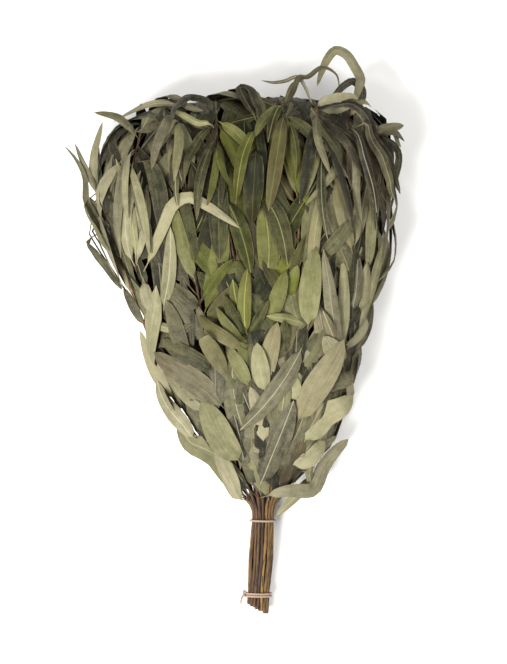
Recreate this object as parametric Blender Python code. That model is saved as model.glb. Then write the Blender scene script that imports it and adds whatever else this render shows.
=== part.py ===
# Eucalyptus sauna whisk: dried leafy branches tied at the handle, lying on its back.
# Sizes are millimetres until a mesh is made. X runs across the whisk, Y from the cut ends to
# the leaf tips, and Z up. Plan points are places on the whisk as seen from above.

import math
import random

import bmesh
import bpy
import numpy as np
from mathutils.kdtree import KDTree

MILLIMETRE = 0.001
SEED = 11

# Overall sizes
WHISK_LENGTH = 570.0
CENTRE_X = -0.5
CENTRE_Y = WHISK_LENGTH / 2

# Handle: three rings of stems round one middle stem, each stem in an even place of its ring
RING_COUNTS = (1, 6, 12, 18)
OUTER_RING = 3
MIDDLE_STEM_ANGLE = math.radians(62)
STEM_RADIUS = 1.5
STEM_TIP_SHARE = 0.5
STEM_SIDES = 5
INNER_STEM_SIDES = 4
# The rings lie closer together at the ties: the pitch between them at the cut and at each Y
NECK_Y = 98.0
NECK_PITCH = 3.2
CUT_PITCH = 3.4
HANDLE_STATIONS = ((20.0, NECK_PITCH), (58.0, 3.5), (NECK_Y, NECK_PITCH))
BUNDLE_RADIUS = OUTER_RING * NECK_PITCH + STEM_RADIUS
# X and Y of the slanted cut at the left and the right of the handle
CUT_SLANT_LEFT = (10.0, 13.0)
CUT_SLANT_RIGHT = (35.0, -0.6)
CUT_JITTER = 1.6

# Ties
TWINE_RADIUS = 1.2
TWINE_SIDES = 6
TIE_CLEARANCE = 0.35
TIE_SEGMENTS = 20
TIE_RADIUS = BUNDLE_RADIUS + TIE_CLEARANCE + TWINE_RADIUS
TIE_OUTSIDE = ((TIE_RADIUS + TWINE_RADIUS * math.cos(math.pi / TWINE_SIDES))
               * math.cos(math.pi / TIE_SEGMENTS))
UPPER_TIE_Y = (95.0,)
LOWER_TIE_Y = (18.2, 20.6)

# Knot of the lower tie: where it sits round the handle, how far along it reaches, its thickness
KNOT_ANGLE = math.radians(165)
KNOT_OUT = 1.6
KNOT_ALONG = (-2.2, 1.8, 5.8)
KNOT_RADII = (0.9, 2.0, 2.4, 2.0, 0.9)
KNOT_SIDES = 6
# Its tail: how far each point lies out from the knot, along the handle and round it
TAIL_POINTS = ((0, 0, 0), (2.4, -1.5, 0.5), (3.6, -5, 1), (3.8, -9, 2))
TAIL_RADIUS = 0.9
TAIL_STATIONS = 6
TAIL_SIDES = 5

# How far the foliage sinks until its lowest leaves touch the surface that the lower tie rests on
SETTLE = 0.7

# The body of the foliage, whose surface leaves are laid on: its sections are rounder above
# than below, and grow to their full inset within BODY_EASE of the neck
LEAF_ROOM = 6.0
BODY_EASE = 50.0
TOP_POWER = 2.3
BOTTOM_POWER = 3.2
SAMPLE_STEP = 3.2

# Stems under the leaves: depth below that surface, stations, and the Y between which a stem
# leaves its place in the handle for its place in the foliage, by the ring it comes from
OUTER_STEM_DEPTH = 6.0
INNER_STEM_DEPTH = 18.0
FRONT_STATIONS = 10
BACK_STATIONS = 9
INNER_STATIONS = 7
BACK_BLEND = (NECK_Y, 165)
INNER_BLENDS = ((160, 340), (150, 330), (125, 240))
FRONT_EASE_ACROSS = 30.0
FRONT_EASE_UP = 60.0

# Heights of leaves out from the surface
OUTER_LEAF_HEIGHT = -2.0
INNER_LEAF_HEIGHT = -15.5
INNER_LEAF_CEILING = -10.6
OUTER_LEAF_CEILING = 9.0
PLANNED_CEILING = 24.0
EMPTY_HEIGHT = -19.5

# Laying a leaf over those already laid: the gap kept, how closely it is tested, how far from its
# root it may meet the stem, and how far it may meet leaves of its own branch
LEAF_GAP = 0.55
TEST_STEP = 2.6
TEST_SPOTS = 5
LIFT_TRIES = 6
FILL_REACH = 1.2
FILL_LIMIT = 28.0
ROOT_FREE = 3.5
OWN_FREE = 10.0
ROOT_JITTER = 0.3
ROOT_SHIFTS = (0, 6, -6, 12, -12, 20, -20, 30, -30)
ROOT_COVER = 0.8
LOWEST_ROOT = NECK_Y + 12

# Leaf form: height of the midrib, least half width, and half width along it as a share of the most
RIDGE = 1.2
STALK_HALF_WIDTH = 1.0
STALK_END = 0.12
WIDTH_SHARES = ([0, 0.1, 0.38, 0.7, 1], [0.1, 0.14, 1.0, 0.75, 0])
BLUNT_WIDTH_SHARES = ([0, 0.07, 0.3, 0.7, 1], [0.15, 0.8, 1.0, 0.75, 0])
STRAIGHT_LEAF_STATIONS = np.array([0, STALK_END, 0.38, 0.7, 1.0])
INNER_LEAF_STATIONS = np.array([0, 0.14, 0.5, 1.0])
STRAIGHT_BEND = 0.7

# A planned leaf: its bow, how steeply it may fall, and how its tip lifts and its blade rolls
PLANNED_BOW = 0.05
STEEPEST_FALL = 0.7
PLANNED_CURL = (-0.5, 1)
PLANNED_ROLL = 0.05

# A leaf by rule: angles off the stem in degrees, the turn of its path, and its rise, curl and roll.
# Leaves near the tips are narrower, and one that finds no room is tried again a little shorter.
SIDE_SPREAD = (22, 46)
END_SPREAD = (2, 14)
RULE_TURN = 0.5
RULE_RISE = (0.3, 1.5)
RULE_CURL = (-1, 1)
RULE_ROLL = 0.07
RULE_STEPS = 24
RULE_TRIES = 5
SHORTENING = 0.88
NARROW_FROM_Y = 380
NARROWING = 0.8

# Corners this close count as touching, and the unions that are tried for a branch in turn:
# the solver and how far its leaves are nudged first
TOUCH = 0.0005
UNION_TRIES = (("EXACT", 0), ("MANIFOLD", 0), ("MANIFOLD", 0.04), ("EXACT", 0.02))

# Rows of the foliage: Y, left X, right X, thickness, height of the underside
HANDLE_ROWS = [
    (-4.0, 10.2, 36.2, 26.0, TIE_OUTSIDE - 13.0),
    (20.0, 11.6, 37.6, 26.0, TIE_OUTSIDE - 13.0),
    (58.0, 14.0, 40.0, 26.0, 5.5),
    (98.0, 16.0, 42.0, 26.0, 9.5),
]
FOLIAGE_ROWS = [
    (118, 6, 51, 34, 7),
    (138, -8, 68, 50, 7),
    (158, -26, 88, 66, 6),
    (178, -39, 102, 80, 6),
    (198, -53, 111, 88, 5),
    (218, -64, 117, 98, 5),
    (243, -76, 123, 104, 5),
    (268, -87, 127, 106, 5),
    (298, -95, 135, 108, 5),
    (328, -107, 144, 110, 5),
    (358, -121, 152, 110, 5),
    (388, -134, 154, 110, 5),
    (418, -142, 155, 110, 5),
    (448, -144, 160, 108, 5),
    (478, -136, 163, 98, 6),
    (498, -116, 154, 82, 11),
    (512, -84, 136, 58, 21),
    (519, -44, 106, 36, 31),
    (523, 0, 66, 14, 41),
]


def leaf(root, width, *path, rise=1.0, rank=0, blunt=False):
    # A leaf by the Y of its root on the stem, its width and the plan points it runs through
    return {"root": root, "width": width, "path": path, "rise": rise, "rank": rank, "blunt": blunt}


# The nine branches of the side in view, from left to right
FRONT_BRANCHES = [
    {
        "stem": [(-12, 156), (-38, 181), (-57, 213), (-76, 256), (-91, 296),
                 (-104, 333), (-119, 373), (-133, 413), (-136, 438)],
        "leaves": [
            leaf(118, 26, (-54, 200)),
            leaf(110, 15, (-22, 158)),
            leaf(178, 18, (-74, 240)),
            leaf(213, 15, (-94, 288)),
            leaf(200, 15, (-58, 223), (-44, 235), (-31, 218), (-36, 180), rise=8),
            leaf(266, 10, (-66, 278), (-37, 296)),
            leaf(297, 9, (-52, 286)),
            leaf(290, 10, (-112, 330)),
            leaf(318, 8, (-135, 393)),
            leaf(346, 9, (-139, 418), (-154, 453), (-173, 474)),
            leaf(400, 13, (-126, 446)),
            leaf(408, 10, (-142, 453), (-133, 498), rank=-1),
            leaf(420, 7, (-162, 475)),
            leaf(385, 7, (-146, 420)),
        ],
    },
    {
        "stem": [(-2, 163), (-26, 210), (-50, 258), (-66, 296), (-84, 326),
                 (-97, 348), (-102, 383), (-104, 418), (-100, 453), (-94, 478)],
        "leaves": [
            leaf(110, 17, (-18, 176)),
            leaf(200, 20, (-74, 256)),
            leaf(250, 16, (-66, 318)),
            leaf(296, 14, (-62, 390)),
            leaf(338, 13, (-79, 306)),
            leaf(350, 10, (-116, 458)),
            leaf(348, 13, (-105, 383), (-104, 413), (-92, 446)),
            leaf(352, 8, (-95, 403), (-91, 440)),
            leaf(350, 8, (-85, 403), (-87, 432)),
            leaf(340, 12, (-84, 356), (-66, 396), (-53, 419), (-29, 412), (7, 388), rise=8, rank=1),
            leaf(453, 17, (-84, 453), (-73, 423), (-70, 380), rise=6),
            leaf(478, 8, (-116, 501), (-141, 508)),
        ],
    },
    {
        "stem": [(6, 163), (-5, 206), (-18, 248), (-31, 296), (-38, 343),
                 (-44, 393), (-48, 433), (-54, 478), (-56, 500)],
        "leaves": [
            leaf(152, 28, (-31, 220), rank=1),
            leaf(180, 20, (-44, 220)),
            leaf(245, 18, (-69, 280)),
            leaf(292, 17, (-8, 242)),
            leaf(206, 24, (-76, 268), rank=1),
            leaf(306, 16, (-66, 335)),
            leaf(293, 18, (6, 334)),
            leaf(316, 11, (-1, 358)),
            leaf(340, 17, (-50, 428)),
            leaf(330, 14, (-59, 413)),
            leaf(495, 10, (-82, 462)),
            leaf(495, 13, (-52, 428)),
            leaf(495, 12, (-62, 438)),
            leaf(495, 11, (-39, 453)),
            leaf(498, 9, (-97, 486)),
            leaf(500, 8, (-22, 488)),
        ],
    },
    {
        "stem": [(20, 158), (16, 208), (15, 273), (6, 328), (-4, 383),
                 (-12, 438), (-17, 488), (-18, 503)],
        "leaves": [
            leaf(228, 14, (-8, 273), rank=-1),
            leaf(250, 12, (2, 296), rank=-1),
            leaf(268, 13, (-34, 302)),
            leaf(273, 10, (-17, 310)),
            leaf(277, 12, (-10, 323)),
            leaf(281, 13, (-1, 338)),
            leaf(279, 14, (14, 350)),
            leaf(281, 10, (34, 318)),
            leaf(325, 12, (6, 350), (-10, 344)),
            leaf(423, 18, (17, 344)),
            leaf(452, 20, (-14, 356)),
            leaf(126, 25, (59, 220), rank=1),
            leaf(118, 16, (116, 177), rise=6, rank=3, blunt=True),
            leaf(478, 12, (-8, 426)),
            leaf(495, 16, (-1, 468), (18, 426)),
            leaf(497, 12, (28, 453)),
            leaf(490, 10, (-36, 440)),
            leaf(503, 8, (-54, 514), (-79, 517), (-104, 508), (-122, 499)),
        ],
    },
    {
        "stem": [(30, 168), (32, 223), (34, 278), (36, 333), (28, 383),
                 (21, 423), (22, 468), (28, 503)],
        "leaves": [
            leaf(223, 18, (23, 276)),
            leaf(232, 18, (43, 296)),
            leaf(293, 16, (51, 346)),
            leaf(170, 16, (16, 232)),
            leaf(333, 24, (29, 415)),
            leaf(335, 22, (58, 375)),
            leaf(345, 16, (4, 378)),
            leaf(430, 20, (44, 396), (53, 352)),
            leaf(490, 12, (9, 453)),
            leaf(500, 11, (21, 466)),
            leaf(480, 13, (28, 428)),
        ],
    },
    {
        "stem": [(43, 168), (50, 218), (55, 268), (53, 320), (62, 356),
                 (64, 408), (56, 468), (49, 510)],
        "leaves": [
            leaf(200, 14, (52, 243)),
            leaf(215, 14, (66, 248)),
            leaf(262, 12, (49, 298)),
            leaf(318, 12, (63, 352)),
            leaf(322, 10, (71, 382)),
            leaf(318, 12, (28, 356)),
            leaf(505, 16, (74, 410)),
            leaf(500, 14, (62, 423)),
            leaf(505, 16, (28, 413)),
            leaf(505, 12, (94, 465)),
            leaf(488, 9, (98, 428)),
            leaf(508, 9, (-3, 495)),
            leaf(510, 9, (16, 520), (-15, 520), rise=2),
            leaf(510, 4, (58, 534), (71, 542)),
        ],
    },
    {
        "stem": [(50, 160), (60, 190), (67, 238), (71, 282), (82, 328),
                 (86, 378), (88, 428), (86, 478), (82, 510)],
        "leaves": [
            leaf(190, 27, (103, 280)),
            leaf(215, 14, (56, 246)),
            leaf(278, 19, (6, 188), rank=2),
            leaf(292, 10, (32, 302)),
            leaf(284, 22, (80, 370)),
            leaf(290, 12, (69, 356)),
            leaf(318, 12, (91, 440)),
            leaf(330, 10, (76, 393)),
            leaf(356, 15, (113, 398)),
            leaf(510, 9, (78, 496), (101, 468), (99, 446), (70, 411), rise=5),
            leaf(508, 11, (111, 506), (135, 488)),
            leaf(510, 4, (66, 530), (28, 541)),
            leaf(460, 8, (84, 403)),
        ],
    },
    {
        "stem": [(56, 155), (78, 188), (100, 226), (114, 256), (118, 308),
                 (118, 368), (118, 428), (116, 478), (114, 500)],
        "leaves": [
            leaf(150, 22, (90, 178)),
            leaf(158, 14, (104, 180)),
            leaf(172, 26, (112, 226)),
            leaf(252, 14, (96, 226)),
            leaf(250, 20, (86, 283)),
            leaf(256, 11, (86, 308)),
            leaf(258, 14, (88, 368)),
            leaf(260, 12, (109, 362)),
            leaf(262, 9, (128, 293), (138, 320)),
            leaf(300, 13, (124, 363)),
            leaf(360, 13, (100, 442)),
            leaf(370, 11, (110, 438)),
            leaf(365, 9, (123, 433)),
            leaf(368, 12, (134, 438)),
            leaf(498, 20, (147, 416)),
            leaf(495, 14, (138, 433)),
            leaf(480, 12, (118, 428)),
            leaf(505, 9, (128, 520), (118, 536), (91, 514), rise=4),
            leaf(505, 11, (124, 528), (123, 550), (113, 566), (101, 570), (90, 556), (82, 534)),
            leaf(500, 6, (138, 513)),
        ],
    },
    {
        "stem": [(66, 150), (92, 178), (110, 220), (122, 278), (134, 333),
                 (142, 378), (146, 418), (144, 468), (138, 493)],
        "leaves": [
            leaf(146, 12, (78, 138), (43, 98)),
            leaf(158, 8, (75, 128)),
            leaf(215, 12, (128, 273)),
            leaf(280, 9, (146, 383)),
            leaf(292, 11, (150, 356), (150, 390)),
            leaf(262, 10, (138, 318)),
            leaf(300, 12, (132, 356)),
            leaf(340, 11, (136, 428)),
            leaf(385, 10, (154, 458)),
            leaf(490, 15, (154, 468), (149, 418), rank=-1),
            leaf(485, 8, (165, 468), (162, 440), (152, 413)),
            leaf(488, 10, (171, 494)),
            leaf(470, 12, (138, 433)),
        ],
    },
]

# Branches that a rule places: how far up each reaches and how it is leafed
BACK_TIPS = [440, 480, 500, 490, 505, 500, 505, 485, 455]
INNER_RING_TIPS = [400, 450, 470, 465, 450, 400, 390, 450, 470, 465, 450, 390]
CORE_RING_TIPS = [430, 465, 455, 440, 465, 450]
CORE_TIP = 468
BACK_RULE = {"first": 142, "spacing": 34, "length": (85, 112), "width": (17, 24),
             "height": OUTER_LEAF_HEIGHT, "ceiling": OUTER_LEAF_CEILING, "ends": 2}
INNER_RULE = {"first": 225, "spacing": 95, "length": (80, 105), "width": (14, 20),
              "height": INNER_LEAF_HEIGHT, "ceiling": INNER_LEAF_CEILING, "ends": 1,
              "stations": INNER_LEAF_STATIONS}

# The front branches with the greener leaves, by number
OLIVE_BRANCHES = range(3, 8)
LEAF_OLIVE = (0.118, 0.125, 0.038, 1.0)
LEAF_SAGE = (0.275, 0.265, 0.165, 1.0)
LEAF_ROUGHNESS = 0.75
TWINE_COLOUR = (0.62, 0.43, 0.31, 1.0)
TWINE_ROUGHNESS = 0.85


def smooth_curve(points, count):
    # A Catmull-Rom curve through the points, read at places evenly apart along it
    p = np.asarray(points, float)
    ends = np.vstack([2 * p[0] - p[1], p, 2 * p[-1] - p[-2]])
    t = np.linspace(0, 1, 16, endpoint=False)[:, None]
    spans = [b + 0.5 * t * (c - a + t * (2 * a - 5 * b + 4 * c - d + t * (3 * (b - c) + d - a)))
             for a, b, c, d in zip(ends, ends[1:], ends[2:], ends[3:])]
    dense = np.vstack(spans + [p[-1:]])
    steps = np.linalg.norm(np.diff(dense, axis=0), axis=1)
    along = np.concatenate([[0], np.cumsum(steps)])
    places = np.linspace(0, along[-1], count)
    return columns_at(places, along, dense)


def columns_at(places, known, table):
    # A table's columns, known at some places, read at others
    return np.stack([np.interp(places, known, column) for column in table.T], axis=1)


def ease(value):
    # From 0 to 1 without a corner
    value = np.clip(value, 0, 1)
    return value * value * (3 - 2 * value)


def unit(vectors):
    return vectors / np.maximum(np.linalg.norm(vectors, axis=-1, keepdims=True), 1e-9)


def body_rows():
    # The rows as centre and half sizes: Y, middle X, middle Z, half width, half thickness
    rows = []
    for y, left, right, thick, low in HANDLE_ROWS:
        rows.append((y, (left + right) / 2, low + thick / 2, (right - left) / 2, thick / 2))
    for y, left, right, thick, low in FOLIAGE_ROWS:
        share = float(ease((y - NECK_Y) / BODY_EASE))
        inset = min(LEAF_ROOM * share, thick / 4)
        low -= SETTLE * share
        rows.append((y, (left + right) / 2, low + thick / 2, (right - left) / 2 - inset,
                     thick / 2 - inset))
    return np.array(rows)


ROWS = smooth_curve(body_rows(), 420)


def row_at(y):
    return [np.interp(y, ROWS[:, 0], ROWS[:, column]) for column in range(1, 5)]


def section(row, angle, depth=0.0):
    # A point of the body's cross-section: rounder above, flatter below
    middle_x, middle_z, wide, high = row
    wide = np.maximum(wide - depth, 1.0)
    high = np.maximum(high - depth, 1.0)
    cos = np.cos(angle)
    sin = np.sin(angle)
    power = np.where(sin > 0, TOP_POWER, BOTTOM_POWER)
    reach = (np.abs(cos / wide) ** power + np.abs(sin / high) ** power) ** (-1 / power)
    return middle_x + reach * cos, middle_z + reach * sin


def top_height(x, y, depth=0.0):
    # How high the body's upper face is over a place in plan
    middle_x, middle_z, wide, high = row_at(y)
    across = np.clip(np.abs(x - middle_x) / np.maximum(wide - depth, 1.0), 0, 1)
    return middle_z + np.maximum(high - depth, 0) * (1 - across ** TOP_POWER) ** (1 / TOP_POWER)


def section_share(y, share, depth):
    # The place at a share of the way round the cross-section, each half measured for itself
    upper = share < 0.5
    angles = np.linspace(0, math.pi, 49) + (0 if upper else math.pi)
    x, z = section(row_at(y), angles, depth)
    along = np.concatenate([[0], np.cumsum(np.hypot(np.diff(x), np.diff(z)))])
    place = (share if upper else share - 0.5) * 2 * along[-1]
    return np.interp(place, along, x), np.interp(place, along, z)


class Shell:
    # The surface that leaves are laid on, as even samples, with the height filled over each

    def __init__(self):
        rows = ROWS[ROWS[:, 0] >= NECK_Y - 6]
        steps = np.abs(np.diff(rows, axis=0)).max(axis=1)
        along = np.concatenate([[0], np.cumsum(steps)])
        places = np.linspace(0, along[-1], int(along[-1] / SAMPLE_STEP) + 1)
        fine = columns_at(places, along, rows)
        points = []
        normals = []
        for before, row, after in zip(fine[:-2], fine[1:-1], fine[2:]):
            dense = np.linspace(0, 2 * math.pi, 361)
            x, z = section(row[1:], dense)
            round_it = np.concatenate([[0], np.cumsum(np.hypot(np.diff(x), np.diff(z)))])
            count = max(6, int(round_it[-1] / SAMPLE_STEP))
            angle = np.interp(np.arange(count) / count * round_it[-1], round_it, dense)
            x, z = section(row[1:], angle)
            points.append(np.stack([x, np.full(count, row[0]), z], axis=1))
            x2, z2 = section(row[1:], angle + 0.02)
            around = np.stack([x2 - x, np.zeros(count), z2 - z], axis=1)
            xa, za = section(before[1:], angle)
            xb, zb = section(after[1:], angle)
            upward = np.stack([xb - xa, np.full(count, after[0] - before[0]), zb - za], axis=1)
            normal = unit(np.cross(upward, around))
            outward = np.stack([np.cos(angle), np.zeros(count), np.sin(angle)], axis=1)
            flip = np.sum(normal * outward, axis=1, keepdims=True) < 0
            normals.append(np.where(flip, -normal, normal))
        pole = fine[-1]
        points.append(np.array([[pole[1], pole[0], pole[2]]]))
        normals.append(np.array([[0.0, 1.0, 0.0]]))
        self.points = np.vstack(points)
        self.normals = np.vstack(normals)
        self.filled = np.full(len(self.points), EMPTY_HEIGHT)
        self.owner = np.full(len(self.points), -1)
        self.others = np.full(len(self.points), EMPTY_HEIGHT)
        self.tree = KDTree(len(self.points))
        for index, point in enumerate(self.points):
            self.tree.insert(point, index)
        self.tree.balance()

    def nearest(self, places):
        return np.array([self.tree.find(place)[1] for place in places])

    def heights(self, places):
        index = self.nearest(places)
        return index, np.sum((places - self.points[index]) * self.normals[index], axis=1)

    def blocked(self, index, owner):
        # The height filled by branches other than the owner
        return np.where(self.owner[index] == owner, self.others[index], self.filled[index])

    def shortfall(self, places, near_root, owner):
        # How far each place is short of clearing what is laid; near its root a leaf may meet its own
        index, height = self.heights(places)
        away = np.linalg.norm(places - self.points[index]
                              - height[:, None] * self.normals[index], axis=1)
        filled = np.where(near_root, self.blocked(index, owner), self.filled[index])
        short = filled + LEAF_GAP - height
        return np.where(away < 2 * SAMPLE_STEP, np.maximum(short, 0), 0)

    def fill(self, places, owner):
        # Raise the filled height of the samples round each place up to that place
        for place in places:
            for point, index, _ in self.tree.find_n(place, 9):
                normal = self.normals[index]
                offset = place - self.points[index]
                height = float(offset @ normal)
                aside = float(np.linalg.norm(offset - height * normal))
                if aside > FILL_REACH * SAMPLE_STEP:
                    continue
                if height > FILL_LIMIT:
                    continue
                if height > self.filled[index]:
                    if self.owner[index] != owner:
                        self.others[index] = self.filled[index]
                    self.filled[index] = height
                    self.owner[index] = owner
                elif self.owner[index] != owner and height > self.others[index]:
                    self.others[index] = height

    def walk(self, start, heading, length, steps, turn):
        # A path over the surface that keeps its heading, but for a steady turn
        place = np.array(start, float)
        index = int(self.nearest([place])[0])
        place = place - self.normals[index] * float((place - self.points[index]) @ self.normals[index])
        path = [place.copy()]
        normals = [self.normals[index]]
        for _ in range(steps):
            normal = self.normals[index]
            heading = heading - normal * float(heading @ normal)
            heading = heading / max(np.linalg.norm(heading), 1e-9)
            side = np.cross(heading, normal)
            angle = turn / steps
            heading = heading * math.cos(angle) + side * math.sin(angle)
            place = place + heading * length / steps
            index = int(self.nearest([place])[0])
            normal = self.normals[index]
            place = place - normal * float((place - self.points[index]) @ normal)
            path.append(place.copy())
            normals.append(normal)
        return np.array(path), np.array(normals)


def ring_slots():
    # Place of each stem in the handle: ring number and angle, outermost last
    slots = []
    for ring, count in enumerate(RING_COUNTS):
        for i in range(count):
            slots.append((ring, (i + 0.5) * 2 * math.pi / count))
    return slots


def cut_end(x, rng):
    y = np.interp(x, [CUT_SLANT_LEFT[0], CUT_SLANT_RIGHT[0]],
                  [CUT_SLANT_LEFT[1], CUT_SLANT_RIGHT[1]])
    return float(y) + rng.uniform(-CUT_JITTER, CUT_JITTER)


def handle_path(ring, angle, rng):
    # The part of a stem in the handle, from its cut end to the neck
    first = cut_end(row_at(5.0)[0] + ring * CUT_PITCH * math.cos(angle), rng)
    path = []
    for y, pitch in ((first, CUT_PITCH),) + HANDLE_STATIONS:
        middle_x, middle_z, _, _ = row_at(y)
        path.append((middle_x + ring * pitch * math.cos(angle), y,
                     middle_z + ring * pitch * math.sin(angle)))
    return path


def spacing(count):
    # Places along a stem, closer together at the neck, where the stems part, and at the tip
    share = np.arange(1, count + 1) / count
    return share - 0.1 * np.sin(2 * math.pi * share)


def spread_path(ring, angle, depth, blend, tip_y, stations):
    # A stem that leaves its place in the handle for its place under the leaves
    share = angle / (2 * math.pi)
    path = []
    for y in NECK_Y + (tip_y - NECK_Y) * spacing(stations):
        middle_x, middle_z, _, _ = row_at(y)
        weight = float(ease((y - blend[0]) / (blend[1] - blend[0])))
        x, z = section_share(y, share, depth)
        hold_x = middle_x + ring * NECK_PITCH * math.cos(angle)
        hold_z = middle_z + ring * NECK_PITCH * math.sin(angle)
        path.append((hold_x + (x - hold_x) * weight, y, hold_z + (z - hold_z) * weight))
    return path


def planned_path(angle, plan, stations):
    # A stem of the side in view, which follows its line in plan under the upper leaves
    neck_x, _, _, _ = row_at(NECK_Y)
    offset_x = OUTER_RING * NECK_PITCH * math.cos(angle)
    offset_z = OUTER_RING * NECK_PITCH * math.sin(angle)
    start = (neck_x + offset_x, NECK_Y)
    dense = smooth_curve([start] + plan, 200)
    path = []
    for x, y in columns_at(spacing(stations), np.linspace(0, 1, len(dense)), dense):
        middle_x, middle_z, _, _ = row_at(y)
        hold_x = middle_x + offset_x
        hold_z = middle_z + offset_z
        x = hold_x + (x - hold_x) * float(ease((y - NECK_Y) / FRONT_EASE_ACROSS))
        weight = float(ease((y - NECK_Y) / FRONT_EASE_UP))
        height = float(top_height(x, y, OUTER_STEM_DEPTH))
        path.append((x, y, hold_z + (height - hold_z) * weight))
    return path


def stem_radii(path):
    y = np.array([point[1] for point in path])
    share = np.clip((y - NECK_Y) / (y[-1] - NECK_Y), 0, 1)
    return STEM_RADIUS * (1 - STEM_TIP_SHARE * share)


def mesh_object(name, vertices, faces, collection):
    mesh = bpy.data.meshes.new(name)
    scaled = (np.asarray(vertices) - [CENTRE_X, CENTRE_Y, 0]) * MILLIMETRE
    mesh.from_pydata(scaled.tolist(), [], faces)
    obj = bpy.data.objects.new(name, mesh)
    collection.objects.link(obj)
    return obj


def tube(path, radii, sides, start_angle=0.0, closed=False):
    # Rings of corners at right angles to the path, joined by four-sided faces
    path = np.asarray(path, float)
    if closed:
        tangent = unit(np.roll(path, -1, axis=0) - np.roll(path, 1, axis=0))
    else:
        tangent = unit(np.gradient(path, axis=0))
    up = np.array([0.0, 0.0, 1.0]) if not closed else np.array([0.0, 1.0, 0.0])
    side = unit(np.cross(tangent, up))
    over = np.cross(side, tangent)
    vertices = []
    for point, a, b, radius in zip(path, side, over, radii):
        for k in range(sides):
            angle = start_angle + 2 * math.pi * k / sides
            vertices.append(point + radius * (a * math.cos(angle) + b * math.sin(angle)))
    faces = []
    rings = len(path)
    for ring in range(rings if closed else rings - 1):
        here = ring * sides
        there = (ring + 1) % rings * sides
        for k in range(sides):
            k2 = (k + 1) % sides
            faces.append((here + k, there + k, there + k2, here + k2))
    if not closed:
        faces.append(tuple(range(sides)))
        faces.append(tuple(reversed(range((rings - 1) * sides, rings * sides))))
    return vertices, faces


def leaf_solid(centres, sides, normals, half_widths):
    # A three-cornered section along the leaf: two edges and a midrib above the flat underside
    left = centres - sides * half_widths[:, None]
    right = centres + sides * half_widths[:, None]
    ridge = centres + normals * RIDGE
    last = len(centres) - 1
    vertices = []
    for i in range(last):
        vertices += [left[i], ridge[i], right[i]]
    vertices.append(centres[last])
    faces = [(0, 2, 1)]
    for i in range(last - 1):
        l, m, r = 3 * i, 3 * i + 1, 3 * i + 2
        l2, m2, r2 = l + 3, m + 3, r + 3
        faces += [(l, m, m2), (l, m2, l2), (m, r, r2), (m, r2, m2), (l, l2, r2), (l, r2, r)]
    l, m, r, tip = 3 * last - 3, 3 * last - 2, 3 * last - 1, 3 * last
    faces += [(l, m, tip), (m, r, tip), (l, tip, r)]
    return vertices, faces


def width_profile(share, blunt):
    if blunt:
        return np.interp(share, *BLUNT_WIDTH_SHARES)
    return np.interp(share, *WIDTH_SHARES)


def lay_leaf(shell, owner, root, bases, normals, share, width, height, rise, curl, roll, blunt,
             ceiling):
    # Set a leaf over what is already laid: stations rise until every part of it is clear
    count = len(bases)
    half = np.maximum(width / 2 * width_profile(share, blunt), 0)
    half[:-1] = np.maximum(half[:-1], STALK_HALF_WIDTH)
    heights = height + rise * np.sin(math.pi * share) + curl * share ** 3
    tangent = unit(np.gradient(bases, axis=0))
    normals = unit(normals - tangent * np.sum(normals * tangent, axis=1, keepdims=True))
    side = unit(np.cross(tangent, normals))
    rolls = roll * np.sin(math.pi * share)
    cos = np.cos(rolls)[:, None]
    sin = np.sin(rolls)[:, None]
    across = side * cos + normals * sin
    face = normals * cos - side * sin
    along = np.linalg.norm(np.diff(bases, axis=0), axis=1)
    lift = np.zeros(count)
    spots = np.linspace(-1, 1, TEST_SPOTS)
    for attempt in range(LIFT_TRIES):
        centres = bases + normals * (heights + lift)[:, None]
        centres[0] = root
        places = []
        links = []
        near_root = []
        for j in range(count - 1):
            fine = max(2, int(along[j] / TEST_STEP))
            for fraction in (np.arange(fine) + 0.5) / fine:
                out = np.sum(along[:j]) + along[j] * fraction
                if out < ROOT_FREE:
                    continue
                near_root += [out < OWN_FREE] * len(spots)
                centre = centres[j] + (centres[j + 1] - centres[j]) * fraction
                reach = half[j] + (half[j + 1] - half[j]) * fraction
                cross = across[j] + (across[j + 1] - across[j]) * fraction
                for spot in spots:
                    places.append(centre + cross * reach * spot)
                    links.append((j, fraction))
        places = np.array(places)
        short = shell.shortfall(places, np.array(near_root), owner)
        if attempt == LIFT_TRIES - 1 or short.max() < 0.05:
            break
        add = np.zeros(count)
        for (j, fraction), need in zip(links, short):
            if need <= 0:
                continue
            if j == 0:
                add[1] = max(add[1], need / max(fraction, 0.3))
                continue
            scale = need / (fraction ** 2 + (1 - fraction) ** 2)
            add[j] = max(add[j], scale * (1 - fraction))
            add[j + 1] = max(add[j + 1], scale * fraction)
        lift += add
    if (heights + lift)[1:].max() > ceiling or short.max() > LEAF_GAP / 2:
        return None
    ridge_weight = 1 - np.abs(np.tile(spots, len(places) // len(spots)))
    facing = np.array([face[j] for j, _ in links])
    shell.fill(places + facing * (RIDGE * ridge_weight + 0.1)[:, None], owner)
    return leaf_solid(centres, across, face, half)


def stations_for(path):
    # The root, the end of the stalk, then more stations the more the leaf bends, and the tip
    tangent = unit(np.diff(path, axis=0))
    bend = np.arccos(np.clip(np.sum(tangent[1:] * tangent[:-1], axis=1), -1, 1)).sum()
    if bend < STRAIGHT_BEND:
        return STRAIGHT_LEAF_STATIONS
    count = int(np.clip(3 + (bend - 0.4) / 0.5, 3, 8))
    blade = np.linspace(0, 1, count + 1)[1:-1]
    return np.concatenate([[0, STALK_END], STALK_END + (1 - STALK_END) * blade, [1.0]])


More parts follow.
